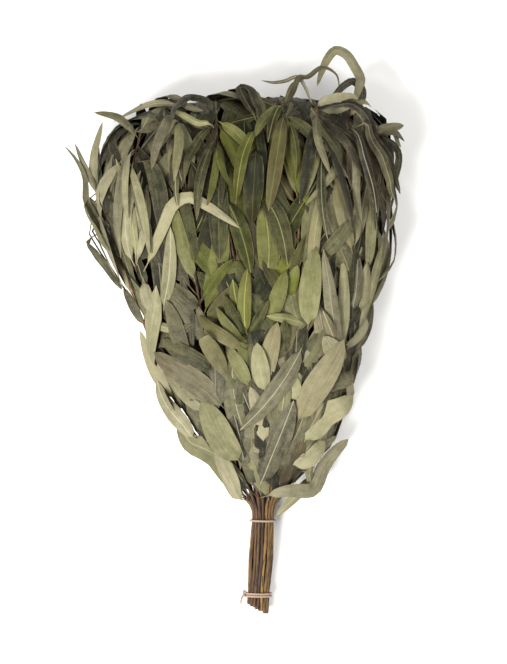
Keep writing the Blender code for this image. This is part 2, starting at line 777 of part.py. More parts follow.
class Branch:
    def __init__(self, number, name, path, colour):
        self.number = number
        self.name = name
        self.path = np.array(path)
        self.radii = stem_radii(path)
        self.sides = INNER_STEM_SIDES if name.startswith("inner") else STEM_SIDES
        self.colour = colour
        self.solids = []

    def at(self, y):
        return columns_at([y], self.path[:, 1], self.path)[0]

    def radius_at(self, y):
        return float(np.interp(y, self.path[:, 1], self.radii))

    def heading_at(self, y):
        return unit(self.at(y + 4) - self.at(y - 4))

    def mark(self, shell):
        # Note the stem's own top in the filled heights
        low = max(self.path[0][1], NECK_Y)
        places = []
        for y in np.arange(low, self.path[-1][1], 2.0):
            centre = self.at(y)
            index = shell.nearest([centre])[0]
            places.append(centre + shell.normals[index] * self.radius_at(y))
        shell.fill(np.array(places), self.number)

    def free_root(self, shell, y):
        # The nearest place on the stem that no leaf covers yet
        for shift in ROOT_SHIFTS:
            place = y + shift
            if not LOWEST_ROOT < place < self.path[-1][1] + 1:
                continue
            centre = self.at(place)
            index, height = shell.heights(np.array([centre]))
            top = height[0] + self.radius_at(place)
            if shell.blocked(index, self.number)[0] < top + ROOT_COVER:
                return place
        return None


def add_planned_leaf(shell, branch, item, rng):
    root_y = branch.free_root(shell, item["root"])
    if root_y is None:
        return
    root = branch.at(root_y) + [rng.uniform(-ROOT_JITTER, ROOT_JITTER) for _ in range(3)]
    plan = [tuple(root[:2])] + [tuple(map(float, point)) for point in item["path"]]
    if len(plan) == 2:
        (x0, y0), (x1, y1) = plan
        bow = rng.uniform(-PLANNED_BOW, PLANNED_BOW)
        plan.insert(1, ((x0 + x1) / 2 - (y1 - y0) * bow, (y0 + y1) / 2 + (x1 - x0) * bow))
    dense = smooth_curve(plan, 60)
    height = top_height(dense[:, 0], dense[:, 1])
    step = np.hypot(*np.diff(dense, axis=0).T)
    height[0] = max(height[0], root[2])
    for i in range(1, len(height)):
        height[i] = max(height[i], height[i - 1] - STEEPEST_FALL * step[i - 1])
    line = np.column_stack([dense, height])
    share = stations_for(line)
    bases = columns_at(share, np.linspace(0, 1, len(line)), line)
    normals = shell.normals[shell.nearest(bases)]
    curl = rng.uniform(*PLANNED_CURL)
    roll = rng.uniform(-PLANNED_ROLL, PLANNED_ROLL)
    solid = lay_leaf(shell, branch.number, root, bases, normals, share, item["width"],
                     OUTER_LEAF_HEIGHT, item["rise"], curl, roll, item["blunt"], PLANNED_CEILING)
    if solid is not None:
        branch.solids.append(solid)


def add_rule_leaf(shell, branch, root_y, side, rule, rng, end=False):
    root_y = branch.free_root(shell, root_y)
    if root_y is None:
        return
    root = branch.at(root_y) + [rng.uniform(-ROOT_JITTER, ROOT_JITTER) for _ in range(3)]
    forward = branch.heading_at(root_y)
    index = shell.nearest([root])[0]
    normal = shell.normals[index]
    forward = unit(forward - normal * float(forward @ normal))
    across = np.cross(forward, normal)
    length = rng.uniform(*rule["length"])
    width = rng.uniform(*rule["width"])
    if root_y > NARROW_FROM_Y:
        width *= NARROWING
    roll = rng.uniform(-RULE_ROLL, RULE_ROLL)
    places = np.linspace(0, 1, RULE_STEPS + 1)
    for attempt in range(RULE_TRIES):
        spread = math.radians(rng.uniform(*(END_SPREAD if end else SIDE_SPREAD)))
        if attempt % 2:
            side = -side
        heading = forward * math.cos(spread) + across * side * math.sin(spread)
        turn = -side * rng.uniform(0.0, RULE_TURN)
        path, normals = shell.walk(root, heading, length, RULE_STEPS, turn)
        share = rule["stations"] if "stations" in rule else stations_for(path)
        bases = columns_at(share, places, path)
        faces = unit(columns_at(share, places, normals))
        rise = rng.uniform(*RULE_RISE)
        curl = rng.uniform(*RULE_CURL)
        solid = lay_leaf(shell, branch.number, root, bases, faces, share, width, rule["height"],
                         rise, curl, roll, False, rule["ceiling"])
        if solid is not None:
            branch.solids.append(solid)
            return
        length *= SHORTENING


def leaf_rule_order(branch, rule, rng):
    # Roots from the tip down, so that each leaf lies over the one above it
    tip = branch.path[-1][1]
    roots = np.arange(rule["first"] + rng.uniform(0, 8), tip - 12, rule["spacing"])
    items = [(float(y) + rng.uniform(-3, 3), 1 if i % 2 else -1, False)
             for i, y in enumerate(roots)]
    for k in range(rule["ends"]):
        items.append((tip - 1 - 3 * k, (-1, 1, 0.2)[k % 3], True))
    return items


def lay_all(shell):
    rng = random.Random(SEED)
    slots = ring_slots()
    front = []
    back = []
    inner = []
    for i, data in enumerate(FRONT_BRANCHES):
        angle = math.pi - math.radians(20) * (i + 0.5)
        path = handle_path(OUTER_RING, angle, rng)
        path += planned_path(angle, data["stem"], FRONT_STATIONS)
        colour = LEAF_OLIVE if i + 1 in OLIVE_BRANCHES else LEAF_SAGE
        front.append(Branch(i, f"front_branch_{i + 1}", path, colour))
    for i, tip in enumerate(BACK_TIPS):
        angle = math.pi + math.radians(20) * (i + 0.5)
        path = handle_path(OUTER_RING, angle, rng)
        path += spread_path(OUTER_RING, angle, OUTER_STEM_DEPTH, BACK_BLEND, tip, BACK_STATIONS)
        back.append(Branch(10 + i, f"back_branch_{i + 1}", path, LEAF_SAGE))
    inner_slots = slots[7:19] + slots[1:7] + slots[:1]
    tips = INNER_RING_TIPS + CORE_RING_TIPS + [CORE_TIP]
    for i, ((ring, angle), tip) in enumerate(zip(inner_slots, tips)):
        if ring == 0:
            angle = MIDDLE_STEM_ANGLE
        path = handle_path(ring, angle, rng)
        path += spread_path(ring, angle, INNER_STEM_DEPTH, INNER_BLENDS[ring], tip, INNER_STATIONS)
        inner.append(Branch(20 + i, f"inner_branch_{i + 1:02d}", path, LEAF_OLIVE))

    for branch in inner:
        branch.mark(shell)
    for branch in inner:
        for y, side, end in sorted(leaf_rule_order(branch, INNER_RULE, rng), reverse=True):
            add_rule_leaf(shell, branch, y, side, INNER_RULE, rng, end)
    for branch in front + back:
        branch.mark(shell)

    # Leaves that point up go from the tip down like roof tiles, then those that hang, from below
    jobs = []
    for branch in back:
        for y, side, end in leaf_rule_order(branch, BACK_RULE, rng):
            jobs.append((0, -y, len(jobs), branch, (y, side, end)))
    for branch, data in zip(front, FRONT_BRANCHES):
        for item in data["leaves"]:
            hangs = item["path"][-1][1] < item["root"] - 15
            rank = item["rank"]
            order = item["root"] if hangs else -item["root"]
            if hangs and rank == 0:
                rank = 0.5
            jobs.append((rank, order, len(jobs), branch, item))
    for _, _, _, branch, item in sorted(jobs, key=lambda job: job[:3]):
        if isinstance(item, dict):
            add_planned_leaf(shell, branch, item, rng)
        else:
            y, side, end = item
            add_rule_leaf(shell, branch, y, side, BACK_RULE, rng, end)
    return front + back + inner


def paint(obj, colour, roughness):
    material = bpy.data.materials.new(obj.name)
    material.use_nodes = True
    shader = material.node_tree.nodes["Principled BSDF"]
    shader.inputs["Base Color"].default_value = colour
    shader.inputs["Roughness"].default_value = roughness
    shader.inputs["Metallic"].default_value = 0.0
    obj.data.materials.clear()
    obj.data.materials.append(material)


def is_closed(mesh):
    # Closed, and touching itself nowhere
    check = bmesh.new()
    check.from_mesh(mesh)
    bmesh.ops.remove_doubles(check, verts=check.verts, dist=TOUCH * MILLIMETRE)
    closed = len(check.faces) > 0 and all(edge.is_manifold for edge in check.edges)
    closed = closed and all(vertex.is_manifold for vertex in check.verts)
    check.free()
    return closed


def drop_scraps(mesh):
    # Keep the largest connected body of a mesh
    work = bmesh.new()
    work.from_mesh(mesh)
    left = set(work.verts)
    bodies = []
    while left:
        body = set()
        front = [left.pop()]
        while front:
            vertex = front.pop()
            body.add(vertex)
            for edge in vertex.link_edges:
                other = edge.other_vert(vertex)
                if other in left:
                    left.remove(other)
                    front.append(other)
        bodies.append(body)
    bodies.sort(key=len)
    for body in bodies[:-1]:
        bmesh.ops.delete(work, geom=list(body), context="VERTS")
    work.to_mesh(mesh)
    work.free()


def fuse(obj, others):
    # One union of the object with a collection of others, which are then removed
    group = bpy.data.collections.new(obj.name + "_repeats")
    bpy.context.scene.collection.children.link(group)
    for vertices, faces in others:
        mesh_object(obj.name + "_repeat", vertices, faces, group)
    for solver, nudge in UNION_TRIES:
        for repeat in group.objects:
            repeat.location.z += nudge * MILLIMETRE
        union = obj.modifiers.new("union", "BOOLEAN")
        union.operation = "UNION"
        union.operand_type = "COLLECTION"
        union.collection = group
        union.solver = solver
        graph = bpy.context.evaluated_depsgraph_get()
        joined = bpy.data.meshes.new_from_object(obj.evaluated_get(graph))
        obj.modifiers.remove(union)
        if is_closed(joined):
            break
    drop_scraps(joined)
    obj.data = joined
    for repeat in list(group.objects):
        bpy.data.objects.remove(repeat)
    bpy.data.collections.remove(group)
    triangles = bmesh.new()
    triangles.from_mesh(obj.data)
    bmesh.ops.triangulate(triangles, faces=triangles.faces)
    triangles.to_mesh(obj.data)
    triangles.free()


def make_branch(branch):
    vertices, faces = tube(branch.path, branch.radii, branch.sides)
    obj = mesh_object(branch.name, vertices, faces, bpy.context.scene.collection)
    fuse(obj, branch.solids)
    paint(obj, branch.colour, LEAF_ROUGHNESS)
    return obj


def tie_turn(y):
    # One closed turn of twine; its lowest facet is level
    middle_x, middle_z, _, _ = row_at(y)
    middle_z = max(middle_z, TIE_OUTSIDE)
    angles = (np.arange(TIE_SEGMENTS) + 0.5) * 2 * math.pi / TIE_SEGMENTS
    path = np.column_stack([middle_x + TIE_RADIUS * np.cos(angles), np.full(TIE_SEGMENTS, y),
                            middle_z + TIE_RADIUS * np.sin(angles)])
    radii = np.full(TIE_SEGMENTS, TWINE_RADIUS)
    return tube(path, radii, TWINE_SIDES, math.pi / TWINE_SIDES, closed=True)


def knot(y, angle):
    # A small knot on the outside of the turns, and the tail that hangs from it
    middle_x, middle_z, _, _ = row_at(y)
    out = np.array([math.cos(angle), 0.0, math.sin(angle)])
    along = np.array([0.0, 1.0, 0.0])
    around = np.array([-math.sin(angle), 0.0, math.cos(angle)])
    centre = np.array([middle_x, y, middle_z]) + out * (TIE_RADIUS + KNOT_OUT)
    lump = smooth_curve([centre + along * place for place in KNOT_ALONG], len(KNOT_RADII))
    tail = smooth_curve([centre + out * a + along * b + around * c for a, b, c in TAIL_POINTS],
                        TAIL_STATIONS)
    return [tube(lump, KNOT_RADII, KNOT_SIDES),
            tube(tail, np.full(TAIL_STATIONS, TAIL_RADIUS), TAIL_SIDES)]


def make_tie(name, turns, with_knot):
    vertices, faces = tie_turn(turns[0])
    obj = mesh_object(name, vertices, faces, bpy.context.scene.collection)
    others = [tie_turn(y) for y in turns[1:]]
    if with_knot:
        others += knot(sum(turns) / len(turns), KNOT_ANGLE)
    if others:
        fuse(obj, others)
    paint(obj, TWINE_COLOUR, TWINE_ROUGHNESS)
    return obj


def main():
    for obj in list(bpy.data.objects):
        bpy.data.objects.remove(obj)
    shell = Shell()
    for branch in lay_all(shell):
        make_branch(branch)
    make_tie("tie_upper", UPPER_TIE_Y, False)
    make_tie("tie_lower", LOWER_TIE_Y, True)


main()
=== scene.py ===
import math
import random

import bpy
import numpy as np
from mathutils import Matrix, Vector
from mathutils.kdtree import KDTree


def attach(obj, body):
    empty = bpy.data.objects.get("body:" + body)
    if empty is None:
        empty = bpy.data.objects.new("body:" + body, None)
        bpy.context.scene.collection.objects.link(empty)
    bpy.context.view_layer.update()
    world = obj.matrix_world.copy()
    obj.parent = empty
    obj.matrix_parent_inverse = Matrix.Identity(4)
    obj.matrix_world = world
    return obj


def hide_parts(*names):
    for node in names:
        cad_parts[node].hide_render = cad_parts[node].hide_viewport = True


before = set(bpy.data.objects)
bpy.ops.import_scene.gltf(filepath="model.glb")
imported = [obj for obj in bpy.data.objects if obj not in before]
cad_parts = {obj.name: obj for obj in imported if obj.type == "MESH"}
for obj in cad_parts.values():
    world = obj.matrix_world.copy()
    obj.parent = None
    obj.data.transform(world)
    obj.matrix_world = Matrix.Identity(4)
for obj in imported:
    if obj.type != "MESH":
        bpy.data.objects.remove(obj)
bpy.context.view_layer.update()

print("frame loaded with", len(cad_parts), "nodes")

# Eucalyptus sauna whisk: dried leafy branches tied at the handle and laid on a pale table.
# The leaves are laid by the same seeded rule as the solids, so each leaf lies on its own solid.
# Lengths are in millimetres: x across, y from the cut ends to the leaf tips, z up from the table.

whisk = {
    "seed": 11,
    "length": 570.0,
    "centreX": -0.5,
    "millimetre": 0.001,
}

handle = {
    "stemRadius": 1.5,
    "neckY": 98.0,
    "neckPitch": 3.2,            # between the rings of stems
    "cutPitch": 3.4,
    # Places along the handle: y, and the pitch there
    "stations": ((20.0, 3.2), (58.0, 3.5), (98.0, 3.2)),
    "slantLeft": (10.0, 13.0),   # x and y of the cut on the left side
    "slantRight": (35.0, -0.6),
    "cutJitter": 1.6,
}
bundleRadius = 3 * handle["neckPitch"] + handle["stemRadius"]

ties = {
    "twineRadius": 1.2,
    "cadSides": 6,
    "cadSegments": 20,
    "clearance": 0.35,
    "upperY": (95.0,),
    "lowerY": (18.2, 20.6),
}
tieRadius = bundleRadius + ties["clearance"] + ties["twineRadius"]
tieOutside = ((tieRadius + ties["twineRadius"] * math.cos(math.pi / ties["cadSides"]))
              * math.cos(math.pi / ties["cadSegments"]))

# How leaves are laid on the body of the whisk: heights are measured out from its surface
laying = {
    "settle": 0.7,            # the underside of the foliage sinks by this much
    "leafRoom": 6.0,          # the body lies this far inside its rows
    "opening": 50,            # length over which the handle opens into the foliage
    "partingAcross": 30,      # lengths over which an outer stem leaves its place in the handle
    "partingUp": 60,
    "topPower": 2.3,          # how square the section is above, and below
    "bottomPower": 3.2,
    "bodyRows": 420,
    "sampleStep": 3.2,        # between the samples of the surface
    "sampleFrom": 6,          # the samples start this far below the neck
    "outerStemDepth": 6.0,
    "innerStemDepth": 18.0,
    "outerHeight": -2.0,      # of an outer leaf before others lift it
    "plannedCeiling": 24.0,
    "emptyHeight": -19.5,     # where nothing is laid yet
    "leafGap": 0.55,
    "gapError": 0.05,
    "lifts": 6,               # how often a leaf is lifted until it is clear
    "stalkShare": 0.3,        # a stalk that is caught nearer to its root is lifted as from here
    "checkStep": 2.6,         # between the places of a leaf that have to be clear
    "checkAcross": 5,
    "fillReach": 1.2,
    "fillSamples": 9,
    "fillLimit": 28.0,
    "rootFree": 3.5,          # from its root to here a leaf may touch anything
    "ownFree": 10.0,          # and from here to there the leaves of its own branch
    "rootJitter": 0.3,
    "rootShifts": (0, 6, -6, 12, -12, 20, -20, 30, -30),
    "rootFrom": 12,           # the lowest root is this far above the neck
    "rootClear": 0.8,
    "markStep": 2.0,          # between the places of a stem that are noted
    "ridge": 1.2,             # of the midrib over the margins
    "ridgeClear": 0.1,
    "stalkHalfWidth": 1.0,
    "linePlaces": 60,         # on the line of a leaf from the photograph
    "steepest": 0.7,          # how fast that line may fall
}

# Rows of the body: y, left x, right x, thickness, height of the underside
handleRows = [
    (-4.0, 10.2, 36.2, 26.0, tieOutside - 13.0),
    (20.0, 11.6, 37.6, 26.0, tieOutside - 13.0),
    (58.0, 14.0, 40.0, 26.0, 5.5),
    (98.0, 16.0, 42.0, 26.0, 9.5),
]
foliageRows = [
    (118, 6, 51, 34, 7), (138, -8, 68, 50, 7), (158, -26, 88, 66, 6),
    (178, -39, 102, 80, 6), (198, -53, 111, 88, 5), (218, -64, 117, 98, 5),
    (243, -76, 123, 104, 5), (268, -87, 127, 106, 5), (298, -95, 135, 108, 5),
    (328, -107, 144, 110, 5), (358, -121, 152, 110, 5), (388, -134, 154, 110, 5),
    (418, -142, 155, 110, 5), (448, -144, 160, 108, 5), (478, -136, 163, 98, 6),
    (498, -116, 154, 82, 11), (512, -84, 136, 58, 21), (519, -44, 106, 36, 31),
    (523, 0, 66, 14, 41),
]


def leaf(root, width, *path, rise=1.0, rank=0, blunt=False, look=None):
    # A leaf by the y of its root on the stem, its width and the places that it runs through
    return {"root": root, "width": width, "path": path, "rise": rise, "rank": rank,
            "blunt": blunt, "look": look}


frontBranches = [
    {
        "stem": [(-12, 156), (-38, 181), (-57, 213), (-76, 256), (-91, 296),
                 (-104, 333), (-119, 373), (-133, 413), (-136, 438)],
        "leaves": [
            leaf(118, 26, (-54, 200)),
            leaf(110, 15, (-22, 158)),
            leaf(178, 18, (-74, 240)),
            leaf(213, 15, (-94, 288)),
            leaf(200, 15, (-58, 223), (-44, 235), (-31, 218), (-36, 180), rise=8),
            leaf(266, 10, (-66, 278), (-37, 296)),
            leaf(297, 9, (-52, 286)),
            leaf(290, 10, (-112, 330)),
            leaf(318, 8, (-135, 393)),
            leaf(346, 9, (-139, 418), (-154, 453), (-173, 474)),
            leaf(400, 13, (-126, 446), look="dark"),
            leaf(408, 10, (-142, 453), (-133, 498), rank=-1),
            leaf(420, 7, (-162, 475)),
            leaf(385, 7, (-146, 420)),
        ],
    },
    {
        "stem": [(-2, 163), (-26, 210), (-50, 258), (-66, 296), (-84, 326),
                 (-97, 348), (-102, 383), (-104, 418), (-100, 453), (-94, 478)],
        "leaves": [
            leaf(110, 17, (-18, 176)),
            leaf(200, 20, (-74, 256)),
            leaf(250, 16, (-66, 318)),
            leaf(296, 14, (-62, 390), look="pale"),
            leaf(338, 13, (-79, 306)),
            leaf(350, 10, (-116, 458)),
            leaf(348, 13, (-105, 383), (-104, 413), (-92, 446), look="pale"),
            leaf(352, 8, (-95, 403), (-91, 440), look="pale"),
            leaf(350, 8, (-85, 403), (-87, 432), look="pale"),
            leaf(340, 12, (-84, 356), (-66, 396), (-53, 419), (-29, 412), (7, 388), rise=8, rank=1,
                 look="pale"),
            leaf(453, 17, (-84, 453), (-73, 423), (-70, 380), rise=6),
            leaf(478, 8, (-116, 501), (-141, 508)),
        ],
    },
    {
        "stem": [(6, 163), (-5, 206), (-18, 248), (-31, 296), (-38, 343),
                 (-44, 393), (-48, 433), (-54, 478), (-56, 500)],
        "leaves": [
            leaf(152, 28, (-31, 220), rank=1),
            leaf(180, 20, (-44, 220)),
            leaf(245, 18, (-69, 280)),
            leaf(292, 17, (-8, 242), look="tan"),
            leaf(206, 24, (-76, 268), rank=1),
            leaf(306, 16, (-66, 335)),
            leaf(293, 18, (6, 334)),
            leaf(316, 11, (-1, 358)),
            leaf(340, 17, (-50, 428)),
            leaf(330, 14, (-59, 413)),
            leaf(495, 10, (-82, 462)),
            leaf(495, 13, (-52, 428)),
            leaf(495, 12, (-62, 438)),
            leaf(495, 11, (-39, 453)),
            leaf(498, 9, (-97, 486)),
            leaf(500, 8, (-22, 488), look="pale"),
        ],
    },
    {
        "stem": [(20, 158), (16, 208), (15, 273), (6, 328), (-4, 383),
                 (-12, 438), (-17, 488), (-18, 503)],
        "leaves": [
            leaf(228, 14, (-8, 273), rank=-1),
            leaf(250, 12, (2, 296), rank=-1),
            leaf(268, 13, (-34, 302)),
            leaf(273, 10, (-17, 310)),
            leaf(277, 12, (-10, 323)),
            leaf(281, 13, (-1, 338)),
            leaf(279, 14, (14, 350)),
            leaf(281, 10, (34, 318)),
            leaf(325, 12, (6, 350), (-10, 344)),
            leaf(423, 18, (17, 344)),
            leaf(452, 20, (-14, 356)),
            leaf(126, 25, (59, 220), rank=1),
            leaf(118, 16, (116, 177), rise=6, rank=3, blunt=True, look="pale"),
            leaf(478, 12, (-8, 426)),
            leaf(495, 16, (-1, 468), (18, 426)),
            leaf(497, 12, (28, 453)),
            leaf(490, 10, (-36, 440)),
            leaf(503, 8, (-54, 514), (-79, 517), (-104, 508), (-122, 499)),
        ],
    },
    {
        "stem": [(30, 168), (32, 223), (34, 278), (36, 333), (28, 383),
                 (21, 423), (22, 468), (28, 503)],
        "leaves": [
            leaf(223, 18, (23, 276)),
            leaf(232, 18, (43, 296)),
            leaf(293, 16, (51, 346)),
            leaf(170, 16, (16, 232)),
            leaf(333, 24, (29, 415)),
            leaf(335, 22, (58, 375)),
            leaf(345, 16, (4, 378)),
            leaf(430, 20, (44, 396), (53, 352)),
            leaf(490, 12, (9, 453)),
            leaf(500, 11, (21, 466)),
            leaf(480, 13, (28, 428)),
        ],
    },
    {
        "stem": [(43, 168), (50, 218), (55, 268), (53, 320), (62, 356),
                 (64, 408), (56, 468), (49, 510)],
        "leaves": [
            leaf(200, 14, (52, 243)),
            leaf(215, 14, (66, 248)),
            leaf(262, 12, (49, 298)),
            leaf(318, 12, (63, 352)),
            leaf(322, 10, (71, 382)),
            leaf(318, 12, (28, 356)),
            leaf(505, 16, (74, 410)),
            leaf(500, 14, (62, 423)),
            leaf(505, 16, (28, 413)),
            leaf(505, 12, (94, 465)),
            leaf(488, 9, (98, 428)),
            leaf(508, 9, (-3, 495)),
            leaf(510, 9, (16, 520), (-15, 520), rise=2),
            leaf(510, 4, (58, 534), (71, 542)),
        ],
    },
    {
        "stem": [(50, 160), (60, 190), (67, 238), (71, 282), (82, 328),
                 (86, 378), (88, 428), (86, 478), (82, 510)],
        "leaves": [
            leaf(190, 27, (103, 280)),
            leaf(215, 14, (56, 246)),
            leaf(278, 19, (6, 188), rank=2),
            leaf(292, 10, (32, 302)),
            leaf(284, 22, (80, 370)),
            leaf(290, 12, (69, 356)),
            leaf(318, 12, (91, 440), look="pink"),
            leaf(330, 10, (76, 393)),
            leaf(356, 15, (113, 398)),
            leaf(510, 9, (78, 496), (101, 468), (99, 446), (70, 411), rise=5),
            leaf(508, 11, (111, 506), (135, 488), look="pale"),
            leaf(510, 4, (66, 530), (28, 541)),
            leaf(460, 8, (84, 403)),
        ],
    },
    {
        "stem": [(56, 155), (78, 188), (100, 226), (114, 256), (118, 308),
                 (118, 368), (118, 428), (116, 478), (114, 500)],
        "leaves": [
            leaf(150, 22, (90, 178)),
            leaf(158, 14, (104, 180)),
            leaf(172, 26, (112, 226)),
            leaf(252, 14, (96, 226)),
            leaf(250, 20, (86, 283)),
            leaf(256, 11, (86, 308)),
            leaf(258, 14, (88, 368)),
            leaf(260, 12, (109, 362)),
            leaf(262, 9, (128, 293), (138, 320)),
            leaf(300, 13, (124, 363)),
            leaf(360, 13, (100, 442)),
            leaf(370, 11, (110, 438)),
            leaf(365, 9, (123, 433)),
            leaf(368, 12, (134, 438)),
            leaf(498, 20, (147, 416), look="dark"),
            leaf(495, 14, (138, 433), look="dark"),
            leaf(480, 12, (118, 428)),
            leaf(505, 9, (128, 520), (118, 536), (91, 514), rise=4),
            leaf(505, 11, (124, 528), (123, 550), (113, 566), (101, 570), (90, 556), (82, 534)),
            leaf(500, 6, (138, 513)),
        ],
    },
    {
        "stem": [(66, 150), (92, 178), (110, 220), (122, 278), (134, 333),
                 (142, 378), (146, 418), (144, 468), (138, 493)],
        "leaves": [
            leaf(146, 12, (78, 138), (43, 98)),
            leaf(158, 8, (75, 128)),
            leaf(215, 12, (128, 273)),
            leaf(280, 9, (146, 383), look="dark"),
            leaf(292, 11, (150, 356), (150, 390)),
            leaf(262, 10, (138, 318)),
            leaf(300, 12, (132, 356)),
            leaf(340, 11, (136, 428)),
            leaf(385, 10, (154, 458), look="dark"),
            leaf(490, 15, (154, 468), (149, 418), rank=-1, look="dark"),
            leaf(485, 8, (165, 468), (162, 440), (152, 413), look="dark"),
            leaf(488, 10, (171, 494), look="pale"),
            leaf(470, 12, (138, 433)),
        ],
    },
]

# The stems in the handle: one in the middle, and rings of 6, 12 and 18 round it
slotRings = (1, 6, 12, 18)
slotStep = math.radians(20)   # between the outer stems
coreAngle = math.radians(62)  # the way in which the stem in the middle leaves
# Their stations above the neck, in the solid and in the smooth stem
stemStations = {"front": (10, 60), "back": (9, 54), "inner": (7, 49)}

# Branches that a rule places: how far up each reaches, between which y it leaves its place in
# the handle, and how it is leafed
backTips = [440, 480, 500, 490, 505, 500, 505, 485, 455]
innerTips = [400, 450, 470, 465, 450, 400, 390, 450, 470, 465, 450, 390,
             430, 465, 455, 440, 465, 450, 468]
backBlend = (handle["neckY"], 165)
innerBlends = ((160, 340), (150, 330), (125, 240))   # for each ring
fewStations = np.array([0, 0.14, 0.5, 1.0])
backRule = {"first": 142, "spacing": 34, "length": (85, 112), "width": (17, 24),
            "height": -2.0, "ceiling": 9.0, "ends": 2, "few": False,
            "spreads": ((22, 46), (2, 14))}   # degrees from the stem: along it, and at its end
innerRule = {"first": 225, "spacing": 95, "length": (80, 105), "width": (14, 20),
             "height": -15.5, "ceiling": -10.6, "ends": 1, "few": True,
             "spreads": ((22, 46), (2, 14))}
# What every leaf by a rule has in common
ruleLeaf = {
    "slimAbove": 380,         # leaves are narrower near the leaf end
    "slim": 0.8,
    "roll": 0.07,
    "rise": (0.3, 1.5),
    "curl": (-1, 1),
    "turn": 0.5,
    "steps": 24,
    "tries": 5,               # each shorter than the last
    "shorter": 0.88,
    "firstSpread": 8,         # of the lowest root
    "rootSpread": 3,
    "tipFree": 12,            # no root along the stem is this near its tip
    "endStep": 3,             # between the roots at the tip
    "endSides": (-1, 1, 0.2),
}
# And what those with a line from the photograph have in common
plannedLeaf = {
    "bow": 0.05,              # of a straight line, as a share of its length
    "curl": (-0.5, 1),
    "roll": 0.05,
    "hangs": 15,              # a leaf hangs if it ends this far below its root
}


def smoothCurve(points, count):
    # A Catmull-Rom curve through the points, read at places evenly apart along it
    p = np.asarray(points, float)
    ends = np.vstack([2 * p[0] - p[1], p, 2 * p[-1] - p[-2]])
    t = np.linspace(0, 1, 16, endpoint=False)[:, None]
    spans = [b + 0.5 * t * (c - a + t * (2 * a - 5 * b + 4 * c - d + t * (3 * (b - c) + d - a)))
             for a, b, c, d in zip(ends, ends[1:], ends[2:], ends[3:])]
    dense = np.vstack(spans + [p[-1:]])
    steps = np.linalg.norm(np.diff(dense, axis=0), axis=1)
    along = np.concatenate([[0], np.cumsum(steps)])
    places = np.linspace(0, along[-1], count)
    return columnsAt(places, along, dense)


def columnsAt(places, along, values):
    # Each column of values, read between its rows
    return np.stack([np.interp(places, along, column) for column in values.T], axis=-1)


def ease(value):
    # 3v^2 - 2v^3, from 0 to 1
    value = np.clip(value, 0, 1)
    return value * value * (3 - 2 * value)


def between(value, start, full):
    # How far a value is from the start to where it is full, eased at both
    return float(ease((value - start) / (full - start)))


def unit(vectors):
    # Each vector over its own length
    return vectors / np.maximum(np.linalg.norm(vectors, axis=-1, keepdims=True), 1e-9)


def bodyRows():
    # The rows as centre and half sizes: y, middle x, middle z, half width, half thickness
    rows = [(y, (left + right) / 2, low + thick / 2, (right - left) / 2, thick / 2)
            for y, left, right, thick, low in handleRows]
    for y, left, right, thick, low in foliageRows:
        spread = between(y, handle["neckY"], handle["neckY"] + laying["opening"])
        inset = min(laying["leafRoom"] * spread, thick / 4)
        low -= laying["settle"] * spread
        rows.append((y, (left + right) / 2, low + thick / 2, (right - left) / 2 - inset,
                     thick / 2 - inset))
    return np.array(rows)


rows = smoothCurve(bodyRows(), laying["bodyRows"])


def rowAt(y):
    # Middle x, middle z, half width and half thickness of the body at y
    return [np.interp(y, rows[:, 0], rows[:, column]) for column in range(1, 5)]


def section(row, angle, depth=0.0):
    # Superellipse |x/wide|^n + |z/high|^n = 1 in polar form, rounder above and flatter below
    middleX, middleZ, wide, high = row
    wide = np.maximum(wide - depth, 1.0)
    high = np.maximum(high - depth, 1.0)
    cos = np.cos(angle)
    sin = np.sin(angle)
    power = np.where(sin > 0, laying["topPower"], laying["bottomPower"])
    reach = (np.abs(cos / wide) ** power + np.abs(sin / high) ** power) ** (-1 / power)
    return middleX + reach * cos, middleZ + reach * sin


def topHeight(x, y, depth=0.0):
    # How high the body's upper face is over a place in plan
    middleX, middleZ, wide, high = rowAt(y)
    across = np.clip(np.abs(x - middleX) / np.maximum(wide - depth, 1.0), 0, 1)
    bulge = (1 - across ** laying["topPower"]) ** (1 / laying["topPower"])
    return middleZ + np.maximum(high - depth, 0) * bulge


def sectionShare(y, share, depth):
    # The place at a share of the way round the section, each half measured for itself
    upper = share < 0.5
    angles = np.linspace(0, math.pi, 49) + (0 if upper else math.pi)
    x, z = section(rowAt(y), angles, depth)
    along = np.concatenate([[0], np.cumsum(np.hypot(np.diff(x), np.diff(z)))])
    place = (share if upper else share - 0.5) * 2 * along[-1]
    return np.interp(place, along, x), np.interp(place, along, z)


